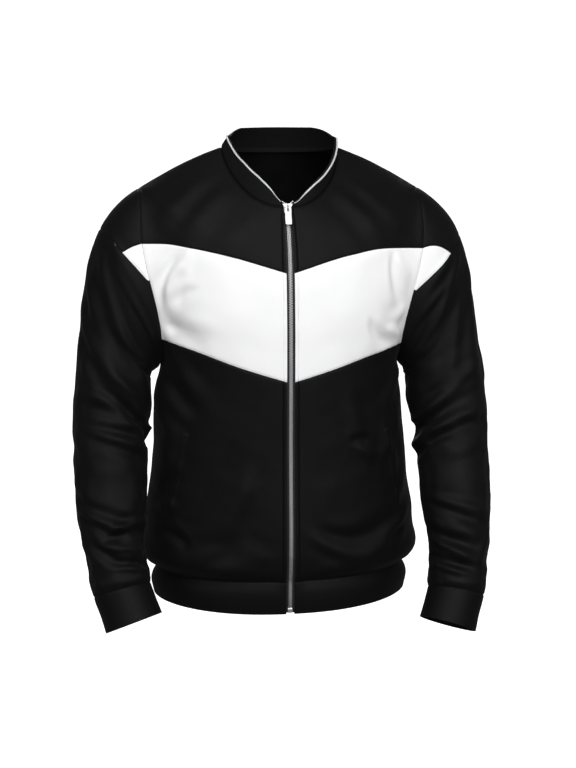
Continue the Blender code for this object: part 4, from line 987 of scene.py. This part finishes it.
def collar_grid(turns, parts):
    """The collar's outer face: it stands on the neck seam and leans in towards the neck."""
    seam = body(turns, np.ones_like(turns))[0]
    height = curve(COLLAR_RISE, "height", turns)
    lean = curve(COLLAR_RISE, "lean", turns)
    inward = unit((np.array(NECK_MIDDLE) - seam) * np.array([1.0, 1.0, 0.0]))
    lift = unit(inward * lean[:, None] + np.array([0.0, 0.0, 1.0]))
    ahead = np.gradient(seam, axis=0)
    normal = unit(np.cross(ahead, lift))
    parts = np.asarray(parts)[:, None, None]
    points = seam + lift * (SEAM_GAP + height[:, None] * parts)
    return points, np.broadcast_to(normal, points.shape)


def make_collar():
    """It rolls in at the neck seam and goes on a little way down inside the panels."""
    turns = 4 * stops(0.50, 0.004)
    points, normals = collar_grid(turns, np.concatenate([[0.0, 0.0], stops(0.03, 0.0025)]))
    up = walked(points, 0)
    roll = ROLL * bell(up, ROLL_WIDTH)
    roll[:2] = THIN + COLLAR_INSIDE
    points = points - normals * roll[..., None]
    points[0, :, 2] -= COLLAR_TUCK
    crown = COLLAR_CROWN * np.sin(math.pi * np.clip(up / up[-1:], 0.0, 1.0))
    grid = points + normals * crown[..., None], normals
    above = ["back", "front_yoke_left", "front_yoke_right"]
    cloth("collar", grid, FOLDED, "knit_collar", (), "collar", above)


def make_piping():
    turns = np.linspace(*RING_ENDS, 240)
    (foot, top), normals = collar_grid(turns, [0.0, 1.0])
    path = top + unit(foot - top) * PIPING_DROP + normals[0] * (PIPING_RADIUS + SEAM_GAP)
    taper = PIPING_THIN + (1 - PIPING_THIN) * blend(0.07, 0.22, np.minimum(turns, 4 - turns))
    data = bpy.data.curves.new("piping_path", "CURVE")
    data.dimensions = "3D"
    data.bevel_depth = PIPING_RADIUS
    data.bevel_resolution = 4
    data.use_fill_caps = True
    spline = data.splines.new("POLY")
    spline.points.add(len(path) - 1)
    for point, place, size in zip(spline.points, path.tolist(), taper.tolist()):
        point.co = (*place, 1.0)
        point.radius = size
    guide = put_in_scene("piping_path", data)
    mesh = bpy.data.meshes.new_from_object(guide.evaluated_get(bpy.context.evaluated_depsgraph_get()))
    bpy.data.objects.remove(guide)
    mesh.shade_smooth()
    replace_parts(add_piece("piping", mesh, "piping_grey"), "collar_piping")


# -------- the zip

ZIP_FOOT = 0.0105  # level of the chain's lower end
BEHIND_HEM = 0.0010  # how much deeper the zip lies behind the hem band, which is thicker
SLIDER_Z = -0.0870  # height of the slider's middle, where the tab hangs
SLIDER_HALF = 0.0070  # half of its length along the zip
TOOTH_PITCH = 0.0024
TOOTH = (0.0034, 0.0024, 0.00105)
TOOTH_EDGE = 0.00028  # its rounding
TOOTH_HEAD = (0.72, 0.80)  # depth and height of its inner end, as shares of its outer one's
TOOTH_REACH = 0.0027  # outer end of a tooth from the centre line
PARTED = 6  # teeth of each half that stand apart above the slider
PARTED_FIRST = (0.0026, -0.0008)  # the first from the centre line, and from the slider's end
PARTED_STEP = (0.0009, 0.0007)  # how far each stands out and up from the one before
PARTED_LEAN = 0.7
PARTED_LIFT = 0.0010  # in front of the line of the panels
CORD_HALF = 0.0047  # half width of the woven cord behind the teeth
CORD_BEHIND = 0.0021
BEHIND_FACE = 0.0030


def front_line(level):
    """Point on the centre line and the direction that faces forward there."""
    level = np.asarray(level, float)
    point, normal = body(np.zeros_like(level), level)
    point = point * np.array([0.0, 1.0, 1.0])
    return point, unit(normal * np.array([0.0, 1.0, 1.0]))


def zip_level(height):
    """The level at which the centre line has that height."""
    levels = np.linspace(0.0, 1.0, 401)
    return np.interp(height, curve(RINGS, "front_z", levels), levels)


def chain_line(levels, deeper=0.0):
    """The chain's middle at those levels, and the direction that faces forward there."""
    line, facing = front_line(levels)
    depth = BEHIND_FACE + deeper + BEHIND_HEM * (1 - blend(0.08, 0.13, levels))
    return line - facing * depth[:, None], facing


def tooth_mesh():
    work = bmesh.new()
    bmesh.ops.create_cube(work, size=1.0, matrix=Matrix.Diagonal((*TOOTH, 1.0)))
    for vertex in work.verts:
        if vertex.co.x < 0:
            vertex.co.y *= TOOTH_HEAD[0]
            vertex.co.z *= TOOTH_HEAD[1]
    edges = list(work.edges)
    bmesh.ops.bevel(work, geom=edges, offset=TOOTH_EDGE, segments=2, affect="EDGES", profile=0.6)
    mesh = bpy.data.meshes.new("tooth")
    work.to_mesh(mesh)
    work.free()
    return mesh


def chain_teeth(chain_head):
    """Middle, outward, forward and upward direction of each tooth of the closed chain."""
    levels = np.linspace(ZIP_FOOT + 0.002, chain_head, 600)
    length = walked(front_line(levels)[0][None], 1)[0]
    count = int(length[-1] / (TOOTH_PITCH / 2))
    middles, facing = chain_line(np.interp(np.arange(count) * TOOTH_PITCH / 2, length, levels))
    ups = np.stack([np.zeros(count), facing[:, 2], -facing[:, 1]], axis=-1)
    for index in range(count):
        across = np.array([1.0 if index % 2 else -1.0, 0.0, 0.0])
        middle = middles[index] + across * (TOOTH_REACH - TOOTH[0] / 2)
        yield middle, across, facing[index], ups[index]


def parted_teeth():
    """The same of each tooth above the slider, where the two halves part."""
    place, facing = (part[0] for part in front_line(zip_level(np.array([SLIDER_Z]))))
    rise = np.array([0.0, -facing[2], facing[1]]) * (-1 if facing[1] < 0 else 1)
    for index in range(PARTED):
        aside, height = (first + step * index for first, step in zip(PARTED_FIRST, PARTED_STEP))
        for sign in (-1, 1):
            across = unit(np.array([sign, 0.0, 0.0]) + rise * PARTED_LEAN)
            middle = place + rise * (SLIDER_HALF + height) + facing * PARTED_LIFT
            middle = middle + np.array([sign * aside, 0.0, 0.0])
            yield middle, across, facing, np.cross(across, facing) * sign


def make_teeth():
    tooth = tooth_mesh()
    corners = np.array([vertex.co[:] for vertex in tooth.vertices])
    polygons = [list(polygon.vertices) for polygon in tooth.polygons]
    chain_head = zip_level(SLIDER_Z - SLIDER_HALF - 0.0012)
    vertices = [
        middle + corners[:, :1] * across - corners[:, 1:2] * facing + corners[:, 2:] * up
        for middle, across, facing, up in (*chain_teeth(chain_head), *parted_teeth())
    ]
    faces = repeated(polygons, len(corners), len(vertices))
    mesh = solid_mesh("zip_teeth", np.concatenate(vertices), faces, SHARP_METAL)
    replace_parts(add_piece("zip_teeth", mesh, "zip_metal"), "zip_chain")
    line, facing = chain_line(np.linspace(ZIP_FOOT, chain_head, 120), CORD_BEHIND)
    width = np.array([-CORD_HALF, 0.0, CORD_HALF])[:, None] * np.array([1.0, 0.0, 0.0])
    points = line[:, None] + width
    facing = np.broadcast_to(facing[:, None], points.shape)
    shell("zip_cord", points, facing, TAPE_THIN, "zip_tape", pucker=0.0)


# -------- sewing

STITCH_PITCH = 0.0031
STITCH_LENGTH = 0.0023
THREAD = 0.00026
STITCH_NEAR = 0.0005  # metres along a path between which its direction is taken
# Rings of a stitch: place along it, size and rise over the cloth, in lengths and threads.
STITCH_RINGS = (
    (-0.50, 0.15, -1.2),
    (-0.34, 1.00, 0.2),
    (0.00, 1.15, 0.5),
    (0.34, 1.00, 0.2),
    (0.50, 0.15, -1.2),
)
STITCH_SIDES = 6
STITCH_REST = 0.002  # levels between a seam and the end of a line of stitches
HEM_STITCHES = 0.0075  # levels over the hem seam
CUFF_STITCHES = 0.007  # reach above the cuff's seam


def stitch_faces():
    rings, sides = len(STITCH_RINGS), STITCH_SIDES
    around = [(k, (k + 1) % sides) for k in range(sides)]
    faces = [
        (ring * sides + a, ring * sides + b, ring * sides + b + sides, ring * sides + a + sides)
        for ring in range(rings - 1)
        for a, b in around
    ]
    return [*faces, tuple(reversed(range(sides))), tuple(range((rings - 1) * sides, rings * sides))]


def sew(name, points, normals, material):
    """A line of stitches along a path on the cloth."""
    length = walked(points[None], 1)[0]
    count = int(length[-1] / STITCH_PITCH)
    middles = (np.arange(count) + 0.5) * STITCH_PITCH

    def on_path(values, shift=0.0):
        return np.stack([np.interp(middles + shift, length, column) for column in values.T], axis=-1)

    up = unit(on_path(normals))
    ahead = unit(on_path(points, STITCH_NEAR) - on_path(points, -STITCH_NEAR))
    aside = np.cross(ahead, up)
    middle, up, ahead, aside = (part[:, None, None] for part in (on_path(points), up, ahead, aside))
    place, size, rise = (np.array(column)[:, None, None] for column in zip(*STITCH_RINGS))
    angle = (np.arange(STITCH_SIDES) * 2 * math.pi / STITCH_SIDES)[:, None]
    spoke = (aside * np.cos(angle) + up * np.sin(angle)) * THREAD * size
    vertices = middle + ahead * (place * STITCH_LENGTH) + up * (rise * THREAD) + spoke
    faces = repeated(stitch_faces(), len(STITCH_RINGS) * STITCH_SIDES, count)
    mesh = bpy.data.meshes.new(name)
    mesh.from_pydata(vertices.reshape(-1, 3).tolist(), [], faces)
    mesh.shade_smooth()
    add_piece(name, mesh, material)


def sew_fronts():
    for side in SIDES:
        turn = on_side(side, np.array([TOPSTITCH / ZIP_SIDE]))
        foot, top = (band_line(turn, line[side])[0] for line in (BAND_FOOT, BAND_TOP))
        stretches = (
            ("body", HEM_SEAM, foot, "knit_black"),
            ("band", foot, top, "knit_white"),
            ("yoke", top, 1.0 - STITCH_REST / 2, "knit_black"),
        )
        for name, low, high, material in stretches:
            levels = np.linspace(low + STITCH_REST, high - STITCH_REST, 160)
            sew(f"topstitch_{name}_{side}", *body(turn, levels), material)


def sew_rings():
    turns = np.linspace(*RING_ENDS, 600)
    sew("hem_seam_stitches", *body(turns, HEM_SEAM + HEM_STITCHES), "knit_black")
    for side in SIDES:
        path = sleeve(side, np.linspace(0.0, 1.0, 200), CUFF_SEAM - CUFF_STITCHES)
        sew(f"cuff_stitches_{side}", *path, "knit_black")


# -------- pockets

POCKET_TOP = (0.150, -0.415)  # distance from the zip and height of its upper end
POCKET_FOOT = (0.178, -0.545)
POCKET_PACE = 0.17  # metres to a whole share, at its pace beside the pocket
WELT_WIDTH = 0.0085
WELT = 0.0012
WELT_LIFT = 0.0003  # over the front
WELT_CROWN = 0.0007
WELT_EDGE = 0.0012  # how near to its edges the crown falls off
WELT_LEAN = 0.02


def body_at(side, across, height):
    """The share and level at which the front has that distance from the zip and that height."""
    share, level = 0.65, 0.3
    for _ in range(12):
        turns = on_side(side, np.array([share, share + NEARBY, share]))
        points = body(turns, np.array([level, level, level + NEARBY]))[0]
        x, z = np.abs(points[:, 0]), points[:, 2]
        slopes = np.array([x[1:] - x[0], z[1:] - z[0]]) / NEARBY
        change = np.linalg.solve(slopes, np.array([across - x[0], height - z[0]]))
        share = float(np.clip(share + change[0], 0.3, 0.97))
        level = float(np.clip(level + change[1], 0.1, 0.5))
    return share, level


def make_pocket(side):
    top, foot = (body_at(side, *end) for end in (POCKET_TOP, POCKET_FOOT))
    along = stops(0.14, 0.003)[:, None]
    across = stops(WELT_WIDTH, 0.0015)
    share = between(foot[0], top[0], along) + (across - 0.5) * WELT_WIDTH / POCKET_PACE
    level = between(foot[1], top[1], along) - (across - 0.5) * WELT_WIDTH * WELT_LEAN
    points, normals = body(on_side(side, share), level)
    edge = np.minimum(across, 1 - across) * WELT_WIDTH
    crown = WELT_CROWN * (1 - np.exp(-edge / WELT_EDGE)) + WELT_LIFT
    grid = points + normals * crown[:, None], normals
    node, seams, above = f"pocket_welt_{side}", ("low", "high"), [f"front_body_{side}"]
    cloth(node, grid, WELT, "knit_black", seams, "pocket_welt", above, pucker=0.0)


# -------- finishes


class Shader:
    """Makes a material and links its nodes with few words."""

    def __init__(self, name, colour, roughness, metallic=0.0, sheen=0.0, specular=0.5):
        self.material = bpy.data.materials.new(name)
        self.material.use_nodes = True
        self.tree = self.material.node_tree
        self.bsdf = self.tree.nodes["Principled BSDF"]
        self.put("Base Color", (*colour, 1.0))
        self.put("Roughness", roughness)
        self.put("Metallic", metallic)
        self.put("Sheen Weight", sheen)
        self.put("Specular IOR Level", specular)

    def put(self, socket, value):
        self.bsdf.inputs[socket].default_value = value

    def node(self, kind, inputs=None, **settings):
        node = self.tree.nodes.new(kind)
        for name, value in settings.items():
            setattr(node, name, value)
        for name, value in (inputs or {}).items():
            if isinstance(value, bpy.types.NodeSocket):
                self.tree.links.new(value, node.inputs[name])
            else:
                node.inputs[name].default_value = value
        return node

    def ramp(self, value, stops):
        node = self.node("ShaderNodeValToRGB", {"Fac": value})
        ramp = node.color_ramp
        while len(ramp.elements) < len(stops):
            ramp.elements.new(0.5)
        for element, (place, colour) in zip(ramp.elements, stops):
            element.position = place
            element.color = (*colour, 1.0)
        return node.outputs["Color"]

    def link(self, output, socket):
        self.tree.links.new(output, self.bsdf.inputs[socket])

    def place(self):
        return self.node("ShaderNodeTexCoord").outputs["Object"]

    def noise(self, vector, scale, detail):
        inputs = {"Vector": vector, "Scale": scale, "Detail": detail}
        return self.node("ShaderNodeTexNoise", inputs).outputs["Fac"]

    def waves(self, vector, scale, distortion, direction, detail_scale=1.0):
        inputs = {"Vector": vector, "Scale": scale, "Distortion": distortion}
        inputs |= {"Detail": 1.0, "Detail Scale": detail_scale}
        node = self.node("ShaderNodeTexWave", inputs, wave_type="BANDS", bands_direction=direction)
        return node.outputs["Fac"]

    def maths(self, operation, first, second):
        return self.node("ShaderNodeMath", {0: first, 1: second}, operation=operation).outputs[0]

    def bump(self, height, strength, distance):
        inputs = {"Height": height, "Strength": strength, "Distance": distance}
        self.link(self.node("ShaderNodeBump", inputs).outputs["Normal"], "Normal")

    def grey(self, value, low, high):
        """Values that run from low to high in step with a texture."""
        return self.ramp(value, ((0.3, (low,) * 3), (0.7, (high,) * 3)))


def knit(name, colours, roughness, sheen, specular, bump):
    """Smooth double knit: fine wales along the cloth, a soft sheen and slight unevenness."""
    shader = Shader(name, colours[0], roughness, sheen=sheen, specular=specular)
    shader.put("Sheen Roughness", 0.45)
    marks = shader.node("ShaderNodeUVMap", uv_map="cloth").outputs["UV"]
    wales = shader.waves(marks, 260.0, 0.6, "X", 2.0)
    courses = shader.waves(marks, 330.0, 0.8, "Y", 2.0)
    place = shader.place()
    broad = shader.noise(place, 9.0, 3.0)
    lint = shader.noise(place, 900.0, 2.0)
    weave = shader.maths("MULTIPLY", wales, courses)
    mixed = shader.maths("ADD", weave, lint)
    shader.link(shader.ramp(broad, ((0.25, colours[0]), (0.75, colours[1]))), "Base Color")
    shader.link(shader.grey(lint, roughness - 0.06, roughness + 0.06), "Roughness")
    shader.bump(mixed, bump, 0.0003)
    return shader.material


def metal(name, colour, roughness):
    """Dull cast metal with a fine grain."""
    shader = Shader(name, colour, roughness, metallic=1.0)
    grain = shader.noise(shader.place(), 700.0, 4.0)
    shader.link(shader.grey(grain, roughness - 0.07, roughness + 0.10), "Roughness")
    shader.bump(grain, 0.25, 0.0001)
    return shader.material


def woven(name, colours, roughness, scale, distortion, bump, **looks):
    """Tape or satin binding with slanting threads."""
    shader = Shader(name, colours[0], roughness, **looks)
    threads = shader.waves(shader.place(), scale, distortion, "DIAGONAL")
    shader.link(shader.ramp(threads, ((0.2, colours[0]), (0.8, colours[1]))), "Base Color")
    shader.bump(threads, bump, 0.0002)
    return shader.material


def make_finishes():
    black = ((0.0017, 0.0017, 0.0019), (0.0030, 0.0030, 0.0032))
    white = ((0.90, 0.90, 0.903), (0.93, 0.93, 0.93))
    # Painted light: the collar's colour is lighter than the body's black, to make up for the shade that
    # the lamps leave on the collar.
    collar = ((0.0048, 0.0048, 0.0050), (0.0066, 0.0066, 0.0069))
    piping = ((0.5676, 0.5762, 0.5934), (0.7128, 0.7236, 0.7452))
    tape = ((0.016, 0.016, 0.017), (0.036, 0.036, 0.037))
    return {
        "knit_black": knit("knit_black", black, 0.56, 0.02, 0.12, 0.35),
        "knit_collar": knit("knit_collar", collar, 0.62, 0.01, 0.06, 0.45),
        "knit_white": knit("knit_white", white, 0.60, 0.05, 0.20, 0.20),
        "piping_grey": woven("piping_grey", piping, 0.42, 300.0, 0.5, 0.4, sheen=0.1),
        "zip_tape": woven("zip_tape", tape, 0.8, 420.0, 0.4, 0.5, specular=0.2),
        "zip_metal": metal("zip_metal", (0.58, 0.58, 0.59), 0.52),
    }


def finish_cad_nodes():
    """The nodes whose shapes are right stay and get these finishes."""
    kept = {
        "zip_tape": ("zip_tape_left", "zip_tape_right"),
        "zip_metal": ("zip_box", "zip_slider", "pull_tab"),
    }
    for material, nodes in kept.items():
        for node in nodes:
            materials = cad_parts[node].data.materials
            materials.clear()
            materials.append(FINISHES[material])


# -------- cut sizes

# Width, length and area of a piece of cloth as it is cut, in metres and square metres: only the record
# is defined here, no piece's sizes.
Cut = namedtuple("Cut", "width length area held")


# -------- floor, light and camera

FLOOR = -1.45  # a wearer's feet would be here
FLOOR_HALF = 6.0
# How the floor runs back and turns up into a wall: y, and height over the floor.
FLOOR_PATH = ((-4.0, 0.0), (2.2, 0.0), (2.7, 0.05), (3.05, 0.25), (3.25, 0.6), (3.3, 1.2), (3.3, 6.0))


def make_stage():
    work = bmesh.new()
    sides = (-FLOOR_HALF, FLOOR_HALF)
    rows = [[work.verts.new((x, y, FLOOR + z)) for x in sides] for y, z in FLOOR_PATH]
    for low, high in zip(rows, rows[1:]):
        work.faces.new((low[0], low[1], high[1], high[0]))
    mesh = bpy.data.meshes.new("floor")
    work.to_mesh(mesh)
    work.free()
    mesh.shade_smooth()
    floor = put_in_scene("floor", mesh)
    smooth = floor.modifiers.new("round", "SUBSURF")
    smooth.levels = 3
    smooth.render_levels = 3
    shader = Shader("pale_floor", (0.93, 0.93, 0.93), 0.9)
    shader.put("Emission Color", (1.0, 1.0, 1.0, 1.0))
    shader.put("Emission Strength", 0.85)
    mesh.materials.append(shader.material)
    floor.visible_glossy = False
    floor.visible_diffuse = False


Lamp = namedtuple("Lamp", "name place aim size power")
LAMPS = (
    Lamp("key", (-0.5, -2.2, 2.1), (0.0, 0.0, -0.30), 2.4, 62.0),
    Lamp("front", (0.6, -3.0, 0.7), (0.0, 0.0, -0.45), 2.2, 58.0),
    Lamp("side", (2.4, -0.8, 0.8), (0.0, 0.0, -0.30), 1.2, 4.0),
    Lamp("fill", (-2.2, -1.6, 0.1), (0.0, 0.0, -0.35), 1.4, 7.0),
    Lamp("back", (0.3, 2.6, 0.9), (0.0, 0.0, -0.30), 1.8, 30.0),
)
WORLD_LIGHT = 0.11


def make_lights():
    for lamp in LAMPS:
        data = bpy.data.lights.new(lamp.name, "AREA")
        data.size = lamp.size
        data.energy = lamp.power
        item = put_in_scene(lamp.name, data)
        item.location = lamp.place
        aim = Vector(lamp.aim) - Vector(lamp.place)
        item.rotation_euler = aim.to_track_quat("-Z", "Y").to_euler()
    world = bpy.data.worlds.new("studio")
    world.use_nodes = True
    background = world.node_tree.nodes["Background"]
    background.inputs["Color"].default_value = (1.0, 1.0, 1.0, 1.0)
    background.inputs["Strength"].default_value = WORLD_LIGHT
    bpy.context.scene.world = world


CAMERA_AZIMUTH = math.radians(-8.0)
CAMERA_ELEVATION = math.radians(10.0)
CAMERA_DISTANCE = 2.2
CAMERA_LENS = 67.0
CAMERA_AIM = Vector((0.0136, 0.0, -0.3605))


def make_camera():
    data = bpy.data.cameras.new("camera")
    data.lens = CAMERA_LENS
    data.sensor_width = 36.0
    level = math.cos(CAMERA_ELEVATION)
    aside, ahead = math.sin(CAMERA_AZIMUTH) * level, math.cos(CAMERA_AZIMUTH) * level
    away = Vector((aside, -ahead, math.sin(CAMERA_ELEVATION)))
    camera = put_in_scene("camera", data)
    camera.location = CAMERA_AIM + away * CAMERA_DISTANCE
    camera.rotation_euler = (-away).to_track_quat("-Z", "Y").to_euler()
    bpy.context.scene.camera = camera
    bpy.context.scene.view_settings.view_transform = "Standard"


# -------- the whole

FINISHES = make_finishes()
for side_name in SIDES:
    make_front(side_name)
    make_sleeve(side_name)
    make_cuff(side_name)
    make_cap(side_name)
    make_pocket(side_name)
    make_seam_tape(side_name)
make_back()
make_hem_band()
make_collar()
make_piping()
make_teeth()
sew_fronts()
sew_rings()
finish_cad_nodes()
make_stage()
make_lights()
make_camera()
